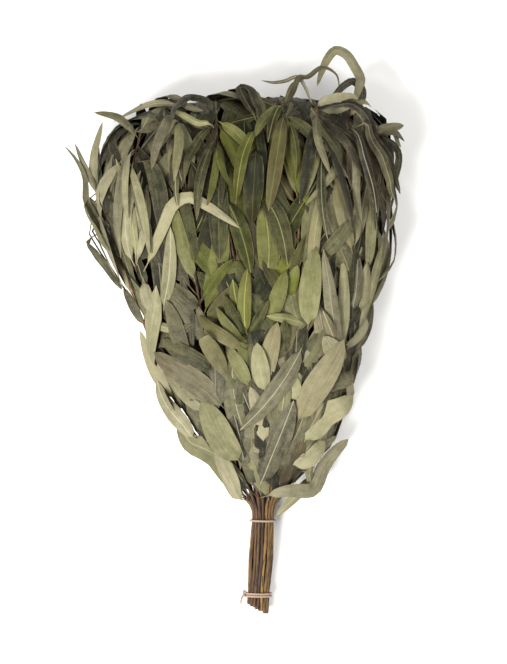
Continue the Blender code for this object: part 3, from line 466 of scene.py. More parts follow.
class LeafShell:
    # The surface that leaves are laid on, as even samples, with the height filled over each

    def __init__(self):
        body = rows[rows[:, 0] >= handle["neckY"] - laying["sampleFrom"]]
        along = np.concatenate([[0], np.cumsum(np.abs(np.diff(body, axis=0)).max(axis=1))])
        places = np.linspace(0, along[-1], int(along[-1] / laying["sampleStep"]) + 1)
        fine = columnsAt(places, along, body)
        points = []
        normals = []
        dense = np.linspace(0, 2 * math.pi, 361)
        for before, row, after in zip(fine[:-2], fine[1:-1], fine[2:]):
            x, z = section(row[1:], dense)
            roundIt = np.concatenate([[0], np.cumsum(np.hypot(np.diff(x), np.diff(z)))])
            count = max(6, int(roundIt[-1] / laying["sampleStep"]))
            angle = np.interp(np.arange(count) / count * roundIt[-1], roundIt, dense)
            x, z = section(row[1:], angle)
            points.append(np.stack([x, np.full(count, row[0]), z], axis=1))
            x2, z2 = section(row[1:], angle + 0.02)   # a little further round, for the slope
            around = np.stack([x2 - x, np.zeros(count), z2 - z], axis=1)
            xa, za = section(before[1:], angle)
            xb, zb = section(after[1:], angle)
            upward = np.stack([xb - xa, np.full(count, after[0] - before[0]), zb - za], axis=1)
            normal = unit(np.cross(upward, around))
            outward = np.stack([np.cos(angle), np.zeros(count), np.sin(angle)], axis=1)
            flip = np.sum(normal * outward, axis=1, keepdims=True) < 0
            normals.append(np.where(flip, -normal, normal))
        pole = fine[-1]
        points.append(np.array([[pole[1], pole[0], pole[2]]]))
        normals.append(np.array([[0.0, 1.0, 0.0]]))
        self.points = np.vstack(points)
        self.normals = np.vstack(normals)
        self.tree = KDTree(len(self.points))
        for index, point in enumerate(self.points):
            self.tree.insert(point, index)
        self.tree.balance()
        self.gap = laying["leafGap"]
        self.ridge = laying["ridge"]
        self.clear()

    def clear(self):
        # Nothing is laid yet
        self.filled = np.full(len(self.points), laying["emptyHeight"])
        self.others = self.filled.copy()
        self.owner = np.full(len(self.points), -1)

    def nearest(self, places):
        # The number of the sample nearest to each place
        return np.array([self.tree.find(place)[1] for place in places])

    def heights(self, places):
        # How high each place is over its nearest sample, measured along that sample's normal
        index = self.nearest(places)
        return index, np.sum((places - self.points[index]) * self.normals[index], axis=1)

    def blocked(self, index, owner):
        # The height filled by branches other than the owner
        return np.where(self.owner[index] == owner, self.others[index], self.filled[index])

    def shortfall(self, places, nearRoot, owner):
        # How far each place is short of clearing what is laid. Near its root a leaf may meet
        # those of its own branch.
        index, height = self.heights(places)
        away = np.linalg.norm(places - self.points[index]
                              - height[:, None] * self.normals[index], axis=1)
        filled = np.where(nearRoot, self.blocked(index, owner), self.filled[index])
        short = filled + self.gap - height
        return np.where(away < 2 * laying["sampleStep"], np.maximum(short, 0), 0)

    def fill(self, places, owner):
        # Raise the filled height of the samples round each place up to that place
        count = laying["fillSamples"]
        index = np.array([hit[1] for place in places for hit in self.tree.find_n(place, count)])
        normal = self.normals[index]
        offset = np.repeat(places, count, axis=0) - self.points[index]
        height = np.sum(offset * normal, axis=1)
        aside = np.linalg.norm(offset - height[:, None] * normal, axis=1)
        near = aside <= laying["fillReach"] * laying["sampleStep"]
        near &= height <= laying["fillLimit"]
        top = np.full(len(self.points), -np.inf)
        np.maximum.at(top, index[near], height[near])
        raised = top > self.filled
        foreign = self.owner != owner
        self.others = np.where(foreign, np.where(raised, self.filled,
                                                 np.maximum(self.others, top)), self.others)
        self.owner[raised] = owner
        self.filled = np.maximum(self.filled, top)

    def walk(self, start, heading, length, steps, turn):
        # A path over the surface that keeps its heading, but for a steady turn
        place = np.array(start, float)
        index = int(self.nearest([place])[0])
        place = place - self.normals[index] * float((place - self.points[index])
                                                    @ self.normals[index])
        path = [place.copy()]
        normals = [self.normals[index]]
        angle = turn / steps
        for _ in range(steps):
            normal = self.normals[index]
            heading = heading - normal * float(heading @ normal)
            heading = heading / max(np.linalg.norm(heading), 1e-9)
            side = np.cross(heading, normal)
            heading = heading * math.cos(angle) + side * math.sin(angle)
            place = place + heading * length / steps
            index = int(self.nearest([place])[0])
            normal = self.normals[index]
            place = place - normal * float((place - self.points[index]) @ normal)
            path.append(place.copy())
            normals.append(normal)
        return np.array(path), np.array(normals)


def handlePath(ring, angle, rng):
    # The part of a stem in the handle, from its cut end to the neck
    left, right = handle["slantLeft"], handle["slantRight"]
    x = rowAt(5.0)[0] + ring * handle["cutPitch"] * math.cos(angle)
    first = float(np.interp(x, [left[0], right[0]], [left[1], right[1]]))
    first += rng.uniform(-handle["cutJitter"], handle["cutJitter"])
    path = []
    for y, pitch in ((first, handle["cutPitch"]),) + handle["stations"]:
        middleX, middleZ, _, _ = rowAt(y)
        path.append((middleX + ring * pitch * math.cos(angle), y,
                     middleZ + ring * pitch * math.sin(angle)))
    return path


def spacing(count):
    # Places along a stem, closer together at the neck, where the stems part, and at the tip
    share = np.arange(1, count + 1) / count
    return share - 0.1 * np.sin(2 * math.pi * share)


def spreadPath(ring, angle, depth, blend, tipY, stations):
    # A stem that leaves its place in the handle for its place under the leaves
    share = angle / (2 * math.pi)
    path = []
    for y in handle["neckY"] + (tipY - handle["neckY"]) * spacing(stations):
        middleX, middleZ, _, _ = rowAt(y)
        weight = between(y, *blend)
        x, z = sectionShare(y, share, depth)
        holdX = middleX + ring * handle["neckPitch"] * math.cos(angle)
        holdZ = middleZ + ring * handle["neckPitch"] * math.sin(angle)
        path.append((holdX + (x - holdX) * weight, y, holdZ + (z - holdZ) * weight))
    return path


def plannedPath(angle, plan, stations):
    # A stem of the side in view, which follows its line in plan under the upper leaves
    neckY = handle["neckY"]
    ringRadius = 3 * handle["neckPitch"]
    start = (rowAt(neckY)[0] + ringRadius * math.cos(angle), neckY)
    dense = smoothCurve([start] + plan, 200)
    line = columnsAt(spacing(stations), np.linspace(0, 1, 200), dense)
    path = []
    for x, y in line:
        middleX, middleZ, _, _ = rowAt(y)
        holdX = middleX + ringRadius * math.cos(angle)
        x = holdX + (x - holdX) * between(y, neckY, neckY + laying["partingAcross"])
        weight = between(y, neckY, neckY + laying["partingUp"])
        hold = middleZ + ringRadius * math.sin(angle)
        height = float(topHeight(x, y, laying["outerStemDepth"]))
        path.append((x, y, hold + (height - hold) * weight))
    return path


def stemRadii(path):
    # The radius falls evenly from the neck on, to half of it at the tip
    y = path[:, 1]
    share = np.clip((y - handle["neckY"]) / (y[-1] - handle["neckY"]), 0, 1)
    return handle["stemRadius"] * (1 - 0.5 * share)


def widthProfile(share, blunt):
    # Width of the solid's leaf as a share of the widest, in straight lines from place to place
    if blunt:
        return np.interp(share, [0, 0.07, 0.3, 0.7, 1], [0.15, 0.8, 1.0, 0.75, 0])
    return np.interp(share, [0, 0.1, 0.38, 0.7, 1], [0.1, 0.14, 1.0, 0.75, 0])


def layLeaf(shell, owner, root, bases, normals, share, width, height, rise, curl, roll, blunt,
            ceiling, press=False, rootFree=laying["rootFree"]):
    # Set a leaf over what is already laid: its stations rise until every part of it is clear.
    # A pressed leaf stays under the ceiling all the same.
    half = np.maximum(width / 2 * widthProfile(share, blunt), 0)
    half[:-1] = np.maximum(half[:-1], laying["stalkHalfWidth"])
    heights = height + rise * np.sin(math.pi * share) + curl * share ** 3
    tangent = unit(np.gradient(bases, axis=0))
    normals = unit(normals - tangent * np.sum(normals * tangent, axis=1, keepdims=True))
    side = unit(np.cross(tangent, normals))
    rolls = roll * np.sin(math.pi * share)
    cos = np.cos(rolls)[:, None]
    sin = np.sin(rolls)[:, None]
    across = side * cos + normals * sin
    face = normals * cos - side * sin

    along = np.linalg.norm(np.diff(bases, axis=0), axis=1)
    fine = np.maximum(2, (along / laying["checkStep"]).astype(int))
    segment = np.repeat(np.arange(len(fine)), fine)
    fraction = np.concatenate([(np.arange(n) + 0.5) / n for n in fine])
    out = np.concatenate([[0], np.cumsum(along)])[segment] + along[segment] * fraction
    keep = out >= rootFree
    spots = np.linspace(-1, 1, laying["checkAcross"])
    j, f, nearRoot = [np.repeat(values, len(spots)) for values in
                      (segment[keep], fraction[keep], out[keep] < laying["ownFree"])]
    spot = np.tile(spots, keep.sum())
    reach = half[j] + (half[j + 1] - half[j]) * f
    cross = across[j] + (across[j + 1] - across[j]) * f[:, None]

    lift = np.zeros(len(bases))
    for attempt in range(laying["lifts"]):
        centres = bases + normals * (heights + lift)[:, None]
        centres[0] = root
        centre = centres[j] + (centres[j + 1] - centres[j]) * f[:, None]
        places = centre + cross * reach[:, None] * spot[:, None]
        short = shell.shortfall(places, nearRoot, owner)
        if attempt == laying["lifts"] - 1 or short.max() < laying["gapError"]:
            break
        add = np.zeros(len(bases))
        first = (short > 0) & (j == 0)
        rest = (short > 0) & (j > 0)
        if first.any():
            add[1] = (short[first] / np.maximum(f[first], laying["stalkShare"])).max()
        scale = short[rest] / (f[rest] ** 2 + (1 - f[rest]) ** 2)
        np.maximum.at(add, j[rest], scale * (1 - f[rest]))
        np.maximum.at(add, j[rest] + 1, scale * f[rest])
        lift += add
    if press:
        centres = bases + normals * np.minimum(heights + lift, ceiling)[:, None]
        centres[0] = root
    elif (heights + lift)[1:].max() > ceiling or short.max() > shell.gap / 2:
        return None
    ridgeTop = shell.ridge * (1 - np.abs(spot)) + laying["ridgeClear"]
    shell.fill(places + face[j] * ridgeTop[:, None], owner)
    return {"centres": centres, "face": face, "share": share, "width": width, "blunt": blunt}


def stationsFor(path):
    # The root, the end of the stalk, then more stations the more the leaf bends, and the tip
    tangent = unit(np.diff(path, axis=0))
    bend = np.arccos(np.clip(np.sum(tangent[1:] * tangent[:-1], axis=1), -1, 1)).sum()
    if bend < 0.7:
        return np.array([0, 0.12, 0.38, 0.7, 1.0])
    count = int(np.clip(3 + (bend - 0.4) / 0.5, 3, 8))
    blade = np.linspace(0, 1, count + 1)[1:-1]
    return np.concatenate([[0, 0.12], 0.12 + 0.88 * blade, [1.0]])


class Branch:
    # A stem with its leaves: the solid's stem runs by few stations, and the smooth one by many

    def __init__(self, number, name, grip, course, setting, stations):
        self.number = number
        self.name = name
        self.path, self.finePath = [np.array(grip + course(*setting, count))
                                    for count in stations]
        self.radii = stemRadii(self.path)
        self.leaves = []

    def at(self, y):
        # The place on the stem at this y
        return columnsAt(y, self.path[:, 1], self.path)

    def radiusAt(self, y):
        return float(np.interp(y, self.path[:, 1], self.radii))

    def headingAt(self, y):
        return unit(self.at(y + 4) - self.at(y - 4))

    def mark(self, shell):
        # Note the stem's own top in the filled heights
        low = max(self.path[0][1], handle["neckY"])
        places = []
        for y in np.arange(low, self.path[-1][1], laying["markStep"]):
            centre = self.at(y)
            index = shell.nearest([centre])[0]
            places.append(centre + shell.normals[index] * self.radiusAt(y))
        shell.fill(np.array(places), self.number)

    def freeRoot(self, shell, y):
        # The nearest place on the stem that no leaf covers yet
        for shift in laying["rootShifts"]:
            place = y + shift
            if not handle["neckY"] + laying["rootFrom"] < place < self.path[-1][1] + 1:
                continue
            centre = self.at(place)
            index, height = shell.heights(np.array([centre]))
            stemTop = height[0] + self.radiusAt(place) + laying["rootClear"]
            if shell.blocked(index, self.number)[0] < stemTop:
                return place
        return None

    def keepLeaf(self, laid, rootY, kind, look=None):
        # The fine leaf starts on the smooth stem, which the solid's stem follows by chords
        fine = columnsAt(rootY, self.finePath[:, 1], self.finePath)
        laid["centres"][0] += fine - self.at(rootY)
        laid["kind"] = kind
        laid["look"] = look
        self.leaves.append(laid)


def jittered(root, rng):
    # The root a little aside of the stem's middle line
    return root + [rng.uniform(-laying["rootJitter"], laying["rootJitter"]) for _ in range(3)]


def addPlannedLeaf(shell, branch, item, rng):
    # A leaf that follows its line in plan over the body, with a slight bow where that is straight
    rootY = branch.freeRoot(shell, item["root"])
    if rootY is None:
        return
    root = jittered(branch.at(rootY), rng)
    plan = [tuple(root[:2])] + [tuple(map(float, point)) for point in item["path"]]
    if len(plan) == 2:
        (x0, y0), (x1, y1) = plan
        bow = rng.uniform(-plannedLeaf["bow"], plannedLeaf["bow"])
        plan.insert(1, ((x0 + x1) / 2 - (y1 - y0) * bow, (y0 + y1) / 2 + (x1 - x0) * bow))
    dense = smoothCurve(plan, laying["linePlaces"])
    height = topHeight(dense[:, 0], dense[:, 1])
    step = np.hypot(*np.diff(dense, axis=0).T)
    height[0] = max(height[0], root[2])
    for i in range(1, len(height)):
        height[i] = max(height[i], height[i - 1] - laying["steepest"] * step[i - 1])
    line = np.column_stack([dense, height])
    share = stationsFor(line)
    bases = columnsAt(share, np.linspace(0, 1, len(line)), line)
    normals = shell.normals[shell.nearest(bases)]
    curl = rng.uniform(*plannedLeaf["curl"])
    roll = rng.uniform(-plannedLeaf["roll"], plannedLeaf["roll"])
    laid = layLeaf(shell, branch.number, root, bases, normals, share, item["width"],
                   laying["outerHeight"], item["rise"], curl, roll, item["blunt"],
                   laying["plannedCeiling"])
    if laid is not None:
        branch.keepLeaf(laid, rootY, "planned", item["look"])


def addRuleLeaf(shell, branch, rootY, side, rule, rng, end, kind):
    # A hanging leaf comes up between others at its root and points back to the handle
    hangs = kind == "crown"
    rootY = rootY if hangs else branch.freeRoot(shell, rootY)
    if rootY is None:
        return
    root = jittered(branch.at(rootY), rng)
    forward = np.array([0.0, -1.0, 0.0]) if hangs else branch.headingAt(rootY)
    index = shell.nearest([root])[0]
    normal = shell.normals[index]
    forward = unit(forward - normal * float(forward @ normal))
    across = np.cross(forward, normal)
    length = rng.uniform(*rule["length"])
    width = rng.uniform(*rule["width"])
    if rootY > ruleLeaf["slimAbove"]:
        width *= ruleLeaf["slim"]
    width = min(width, length * rule.get("slender", 1))
    roll = rng.uniform(-ruleLeaf["roll"], ruleLeaf["roll"])
    steps = ruleLeaf["steps"]
    places = np.linspace(0, 1, steps + 1)
    for attempt in range(ruleLeaf["tries"]):
        spread = math.radians(rng.uniform(*rule["spreads"][end]))
        if attempt % 2:
            side = -side
        heading = forward * math.cos(spread) + across * side * math.sin(spread)
        turn = -side * rng.uniform(0.0, rule.get("turn", ruleLeaf["turn"]))
        path, normals = shell.walk(root, heading, length, steps, turn)
        share = fewStations if rule["few"] else stationsFor(path)
        bases = columnsAt(share, places, path)
        faces = unit(columnsAt(share, places, normals))
        laid = layLeaf(shell, branch.number, root, bases, faces, share, width, rule["height"],
                       rng.uniform(*ruleLeaf["rise"]), rng.uniform(*ruleLeaf["curl"]), roll,
                       False, rule["ceiling"], rule.get("press", False),
                       rule.get("rootFree", laying["rootFree"]))
        if laid is not None:
            branch.keepLeaf(laid, rootY, kind)
            return
        length *= ruleLeaf["shorter"]


def ruleOrder(branch, rule, rng):
    # Roots by turns on either side along the stem, and more at its tip: y, side, at the tip or not
    tip = branch.path[-1][1]
    spread, sides = ruleLeaf["rootSpread"], ruleLeaf["endSides"]
    roots = np.arange(rule["first"] + rng.uniform(0, ruleLeaf["firstSpread"]),
                      tip - ruleLeaf["tipFree"], rule["spacing"])
    along = [(float(y) + rng.uniform(-spread, spread), 1 if i % 2 else -1, False)
             for i, y in enumerate(roots)]
    return along + [(tip - 1 - ruleLeaf["endStep"] * k, sides[k % len(sides)], True)
                    for k in range(rule["ends"])]


def layBranches(shell):
    # All stems, then the leaves of the inner branches, and the outer leaves over them
    rng = random.Random(whisk["seed"])
    slots = [(ring, (i + 0.5) * 2 * math.pi / count)
             for ring, count in enumerate(slotRings) for i in range(count)]
    front = []
    back = []
    inner = []
    for i, data in enumerate(frontBranches):
        angle = math.pi - slotStep * (i + 0.5)
        front.append(Branch(i, f"front_branch_{i + 1}", handlePath(3, angle, rng), plannedPath,
                            (angle, data["stem"]), stemStations["front"]))
    for i, tip in enumerate(backTips):
        angle = math.pi + slotStep * (i + 0.5)
        spread = (3, angle, laying["outerStemDepth"], backBlend, tip)
        back.append(Branch(10 + i, f"back_branch_{i + 1}", handlePath(3, angle, rng), spreadPath,
                           spread, stemStations["back"]))
    innerSlots = slots[7:19] + slots[1:7] + slots[:1]
    for i, ((ring, angle), tip) in enumerate(zip(innerSlots, innerTips)):
        if ring == 0:
            angle = coreAngle
        spread = (ring, angle, laying["innerStemDepth"], innerBlends[ring], tip)
        inner.append(Branch(20 + i, f"inner_branch_{i + 1:02d}", handlePath(ring, angle, rng),
                            spreadPath, spread, stemStations["inner"]))

    for branch in inner:
        branch.mark(shell)
    for branch in inner:
        for y, side, end in sorted(ruleOrder(branch, innerRule, rng), reverse=True):
            addRuleLeaf(shell, branch, y, side, innerRule, rng, end, "inner")
    for branch in front + back:
        branch.mark(shell)

    # Leaves that point up go from the tip down like roof tiles, then those that hang, from below
    jobs = []
    for branch in back:
        for y, side, end in ruleOrder(branch, backRule, rng):
            jobs.append((0, -y, len(jobs), branch, (y, side, end)))
    for branch, data in zip(front, frontBranches):
        for item in data["leaves"]:
            hangs = item["path"][-1][1] < item["root"] - plannedLeaf["hangs"]
            rank = item["rank"]
            order = item["root"] if hangs else -item["root"]
            if hangs and rank == 0:
                rank = 0.5
            jobs.append((rank, order, len(jobs), branch, item))
    for _, _, _, branch, item in sorted(jobs, key=lambda job: job[:3]):
        if isinstance(item, dict):
            addPlannedLeaf(shell, branch, item, rng)
        else:
            y, side, end = item
            addRuleLeaf(shell, branch, y, side, backRule, rng, end, "rule")
    return front, back, inner


# Leaves that the solids leave out: ones deep between the inner and the outer leaves, painted dark
# as shade, and others pressed close under the outer leaves, painted darker as shade
deepRule = {"first": 118, "spacing": 9, "length": (64, 108), "width": (13, 22),
            "height": -9.0, "ceiling": -3.4, "ends": 4, "few": False,
            "spreads": ((16, 44), (2, 14))}
tuckedRule = {"first": 112, "spacing": 26, "length": (85, 128), "width": (16, 27),
              "height": -4.2, "ceiling": -2.3, "ends": 3, "few": False, "press": True,
              "spreads": ((16, 44), (2, 14))}
underGap = 0.2
underRidge = 0.5

# Narrow leaves that bend over at the leaf end of the whisk and hang back over the upper leaves
crownRule = {"height": -2.0, "ceiling": 14.0, "few": False, "length": (60, 130),
             "width": (8, 15), "slender": 0.13, "turn": 0.7, "rootFree": 14.0,
             "spreads": ((0, 26),),
             "each": 6, "reach": 40,      # leaves on each branch, and how far below its tip
             "shortLength": (40, 70), "shortFrom": -80, "shortTo": 72}   # short between these x

# Single leaves over the edge at the leaf end that the solids leave out, as in the photograph
edgeLeaves = [
    (4, leaf(468, 20, (19, 425), (18, 392), look="dark")),
    (5, leaf(500, 15, (41, 452), (34, 405), rise=2)),
    (4, leaf(486, 12, (8, 452), (2, 412), rise=2)),
    (6, leaf(500, 12, (72, 455), (64, 412), rise=2, look="dark")),
    (2, leaf(495, 10, (-52, 468), (-57, 432))),
    (2, leaf(498, 10, (-68, 476), (-80, 446), look="dark")),
    (3, leaf(490, 9, (-37, 470), (-47, 436))),
    (3, leaf(482, 9, (-37, 468), (-46, 446), (-53, 418), rise=2)),
    (3, leaf(480, 10, (-27, 455), (-34, 428), (-36, 396), rise=2)),
    (3, leaf(486, 7, (-38, 491), (-62, 502), rise=2, look="pale")),
    (3, leaf(500, 11, (-3, 493), (13, 480), (24, 456), rise=2, look="pale")),
    (3, leaf(500, 8, (-30, 520), (-52, 506), (-60, 480))),
    (4, leaf(500, 9, (5, 523), (21, 508), (31, 481), rise=3)),
    (4, leaf(498, 6, (16, 516), (8, 528))),
    (5, leaf(505, 11, (31, 490), (21, 470), look="pale")),
    (5, leaf(503, 9, (39, 488), (33, 466))),
    (5, leaf(508, 6, (62, 525), (76, 533), (90, 531), (101, 523), look="dark")),
    (5, leaf(508, 7, (64, 524), (84, 526), (98, 520), look="dark")),
    (6, leaf(505, 9, (99, 492), (117, 470), (131, 430), rise=2, look="dark")),
    (6, leaf(505, 9, (93, 488), (107, 468), (122, 438), rise=2, look="dark")),
    (6, leaf(506, 10, (110, 503), (130, 488), (143, 460), (150, 424), rise=3, look="dark")),
    (6, leaf(508, 10, (84, 512), (100, 509), (119, 503), rise=5, look="pale")),
    (6, leaf(505, 8, (80, 470), (94, 440), rise=2, look="pale")),
    (7, leaf(498, 10, (126, 484), (138, 456), (146, 418), rise=3, look="dark")),
    (7, leaf(495, 9, (118, 466), (126, 438), (134, 404), rise=2, look="dark")),
    (7, leaf(498, 12, (128, 492), (146, 466), (153, 428), rise=4, look="dark")),
    (7, leaf(496, 9, (134, 498), (150, 500), (160, 488), rise=2, look="dark")),
    (8, leaf(488, 8, (158, 482), (169, 473), blunt=True, look="pale")),
    (8, leaf(482, 6, (160, 482), (172, 478))),
    (2, leaf(498, 9, (-70, 503), (-88, 482), (-96, 452), rise=2)),
    (2, leaf(500, 8, (-58, 512), (-66, 517), (-84, 508), (-92, 490), rise=2)),
    (0, leaf(396, 8, (-127, 366), (-108, 330))),
    (0, leaf(352, 8, (-108, 326), (-94, 300), look="pale")),
]


def layCrownLeaves(shell, branches):
    # From the lowest root up, so that each leaf lies over the one below it
    rng = random.Random(whisk["seed"] + 2)
    rule = crownRule
    short = {**rule, "length": rule["shortLength"]}
    jobs = [(branch.path[-1][1] - rng.uniform(2, rule["reach"]), branch)
            for branch in branches for _ in range(rule["each"])]
    for y, branch in sorted(jobs, key=lambda job: job[0]):
        x = branch.at(y)[0]
        over = short if rule["shortFrom"] < x < rule["shortTo"] else rule
        addRuleLeaf(shell, branch, y, rng.choice((-1, 1)), over, rng, False, "crown")


def layUnderLeaves(shell, branches, rule, kind, seed):
    # From the highest root down, so that each leaf lies over the one above it
    rng = random.Random(seed)
    jobs = [(-y, branch.number, branch, side, end) for branch in branches
            for y, side, end in ruleOrder(branch, rule, rng)]
    for y, _, branch, side, end in sorted(jobs, key=lambda job: job[:2]):
        addRuleLeaf(shell, branch, -y, side, rule, rng, end, kind)


def tellCount(stage):
    print(stage, sum(len(branch.leaves) for branch in front + back + inner), "leaves")


print("laying leaves")
shell = LeafShell()
front, back, inner = layBranches(shell)
tellCount("as the solids:")
layCrownLeaves(shell, front + back)
rng = random.Random(whisk["seed"] + 4)
for i, item in edgeLeaves:
    addPlannedLeaf(shell, front[i], item, rng)
tellCount("with the crown:")
shell.clear()
shell.gap = underGap
shell.ridge = underRidge
for branch in front + back:
    branch.mark(shell)
for rule, kind, shift in ((deepRule, "deep", 1), (tuckedRule, "tucked", 3)):
    layUnderLeaves(shell, front + back, rule, kind, whisk["seed"] + shift)
    tellCount("with the " + kind + " ones:")


# Leaf: a thin folded sheet along its midrib, round where it is a stalk
leafForm = {
    "stalkEnd": 0.11,         # share of the length that is stalk
    "stalkBend": 0.06,
    "stalkOpens": 0.14,       # share of the blade over which the stalk flattens into it
    "stalkRadius": 0.62,
    "stalkTaper": 0.8,
    "thickness": 0.44,
    "fold": 1.5,              # how far the midrib stands above the margins
    "foldTurns": (1, 1, 1, -0.7),     # one leaf in four is folded the other way
    "foldSpread": (0.6, 1.2),
    "twist": 3.0,
    "twistMiddle": 0.35,
    "margin": (1.6, 3.4),     # how far a twist may move a margin, below and on top
    "wave": 0.45,
    "waves": (1.2, 2.4),
    "waveSkew": 1.5,
    "faceUp": 2.2,
    "stations": {"planned": 12, "crown": 11, "rule": 9, "tucked": 8, "deep": 7, "inner": 7},
    "bendStations": 4.0,      # more of them for each radian that a leaf bends
    "tableGap": 0.12,
}
# The eight corners of a section: as shares of the half width and the half thickness
bladeAcross = np.array([1, 0.5, 0, -0.5, -1, -0.5, 0, 0.5])
bladeUp = np.array([0, 1, 1, 1, 0, -1, -1, -1])
stalkAngles = np.arange(8) * math.pi / 4


def hermite(knots, values, places):
    # A smooth curve through the values: cubic between knots, its slope at each from its neighbours
    slope = np.gradient(values, knots, axis=0)
    i = np.clip(np.searchsorted(knots, places, side="right") - 1, 0, len(knots) - 2)
    gap = (knots[i + 1] - knots[i])[:, None]
    t = (places[:, None] - knots[i][:, None]) / gap
    return ((1 + 2 * t) * (1 - t) ** 2 * values[i] + t * (1 - t) ** 2 * gap * slope[i]
            + t * t * (3 - 2 * t) * values[i + 1] + t * t * (t - 1) * gap * slope[i + 1])


def leafOutline(along, blunt):
    # Half width as a share of the widest: along^p * (1 - along)^q, scaled to reach 1
    p, q = (0.4, 0.42) if blunt else (0.45, 0.6)
    peak = p / (p + q)
    return along ** p * (1 - along) ** q / (peak ** p * (1 - peak) ** q)


def leafGrid(laid, rng):
    # Place(s, corner) = midrib(s) + across(s) * half(s) * corner
    #                    + face(s) * (thickness + fold + wave)
    form = leafForm
    top = laid["kind"] in ("planned", "crown")
    chords = unit(np.diff(laid["centres"][1:], axis=0))
    bend = np.arccos(np.clip(np.sum(chords[1:] * chords[:-1], axis=1), -1, 1)).sum()
    stations = form["stations"][laid["kind"]] + int(form["bendStations"] * bend * top)
    share = np.concatenate([[0, form["stalkBend"]],
                            np.linspace(form["stalkEnd"], 1, stations - 2)])
    blade = np.clip((share - form["stalkEnd"]) / (1 - form["stalkEnd"]), 0, 1)
    middle = hermite(laid["share"], laid["centres"], share)
    tangent = unit(np.gradient(middle, axis=0))
    face = columnsAt(share, laid["share"], laid["face"])
    face = unit(face - tangent * np.sum(face * tangent, axis=1, keepdims=True))
    if laid["kind"] == "planned":
        # A leaf on the steep side of the whisk shows more of its face than the solid does
        up = unit(np.array([0, 0, 1.0]) - tangent * tangent[:, 2:])
        face = unit(face + form["faceUp"] * up)
    across = np.cross(tangent, face)
    half = laid["width"] / 2 * leafOutline(blade, laid["blunt"])
    isBlade = ease(blade / form["stalkOpens"])
    half = np.maximum(half, form["stalkRadius"] * (1 - form["stalkTaper"] * blade ** 3))
    turn = rng.uniform(-form["twist"], form["twist"]) * form["margin"][top] / laid["width"]
    turn = turn * (blade - form["twistMiddle"])
    cos, sin = np.cos(turn)[:, None], np.sin(turn)[:, None]
    across, face = across * cos + face * sin, face * cos - across * sin

    fold = form["fold"] * rng.choice(form["foldTurns"]) * rng.uniform(*form["foldSpread"])
    lift = max(-fold, 0)
    wave = rng.uniform(0.2, 1) * form["wave"]
    phase, waves = rng.uniform(0, 6.3), rng.uniform(*form["waves"])
    shape = isBlade * (1 - blade ** 4)
    thick = form["stalkRadius"] * (1 - isBlade) + form["thickness"] / 2 * isBlade
    flat = isBlade[:, None]
    side = half[:, None] * (np.cos(stalkAngles) * (1 - flat) + bladeAcross * flat)
    ripple = wave * np.sin(waves * 6.28 * blade[:, None] + phase
                           + bladeAcross * form["waveSkew"]) * bladeAcross ** 2
    up = (thick[:, None] * (np.sin(stalkAngles) * (1 - flat) + bladeUp * flat)
          + shape[:, None] * (lift + fold * (1 - np.abs(bladeAcross)) + ripple))
    points = middle[:, None] + across[:, None] * side[..., None] + face[:, None] * up[..., None]
    low = points[..., 2].min(axis=1, keepdims=True)
    points[..., 2] += np.maximum(form["tableGap"] - low, 0)
    along = np.concatenate([[0], np.cumsum(np.linalg.norm(np.diff(middle, axis=0), axis=1))])
    place = np.stack([side, np.broadcast_to(along[:, None], side.shape),
                      np.broadcast_to(half[:, None], side.shape)], axis=-1)
    return points, place


def gridFaces(rings, sides, closed=False):
    # Quads between each ring of corners and the next, and a cap on each end of an open one
    ring = np.arange(rings if closed else rings - 1)[:, None] * sides
    there = (ring + sides) % (rings * sides)
    k = np.arange(sides)[None]
    k2 = (k + 1) % sides
    quads = np.stack([ring + k, there + k, there + k2, ring + k2], axis=-1).reshape(-1, 4)
    if closed:
        return quads, []
    return quads, [np.arange(sides), np.arange(rings * sides - 1, (rings - 1) * sides - 1, -1)]


class PieceMesh:
    # Gathers grids of points into one mesh, with what the materials read at each point

    def __init__(self, name):
        self.name = name
        self.points = []
        self.places = []
        self.traits = []
        self.seeds = []
        self.faces = []
        self.slots = []
        self.count = 0

    def add(self, points, place, traits, seed, slot, closed=False):
        # A grid of rings and corners, with the number of its own that moves its patterns
        rings, sides, _ = points.shape
        quads, caps = gridFaces(rings, sides, closed)
        self.faces += (quads + self.count).tolist() + [(cap + self.count).tolist() for cap in caps]
        self.slots += [slot] * (len(quads) + len(caps))
        total = rings * sides
        self.points.append(points.reshape(-1, 3))
        self.places.append(place.reshape(-1, 3))
        self.traits.append(np.broadcast_to(traits, (rings, sides, 3)).reshape(-1, 3))
        self.seeds.append(np.full(total, seed))
        self.count += total

    def build(self, materials, node):
        mesh = bpy.data.meshes.new(self.name)
        points = np.vstack(self.points) - [whisk["centreX"], whisk["length"] / 2, 0]
        mesh.from_pydata((points * whisk["millimetre"]).tolist(), [], self.faces)
        for material in materials:
            mesh.materials.append(material)
        mesh.polygons.foreach_set("material_index", np.array(self.slots, np.int32))
        mesh.polygons.foreach_set("use_smooth", np.ones(len(self.slots), bool))
        for name, kind, values in (("surfacePlace", "FLOAT_VECTOR", np.vstack(self.places)),
                                   ("traits", "FLOAT_VECTOR", np.vstack(self.traits)),
                                   ("seed", "FLOAT", np.concatenate(self.seeds))):
            attribute = mesh.attributes.new(name, kind, "POINT")
            attribute.data.foreach_set("vector" if kind == "FLOAT_VECTOR" else "value",
                                       values.astype(np.float32).ravel())
        mesh.set_sharp_from_angle(angle=math.radians(60))
        mesh.update()
        piece = bpy.data.objects.new(self.name, mesh)
        bpy.context.scene.collection.objects.link(piece)
        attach(piece, "root")
        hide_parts(node)
        return piece


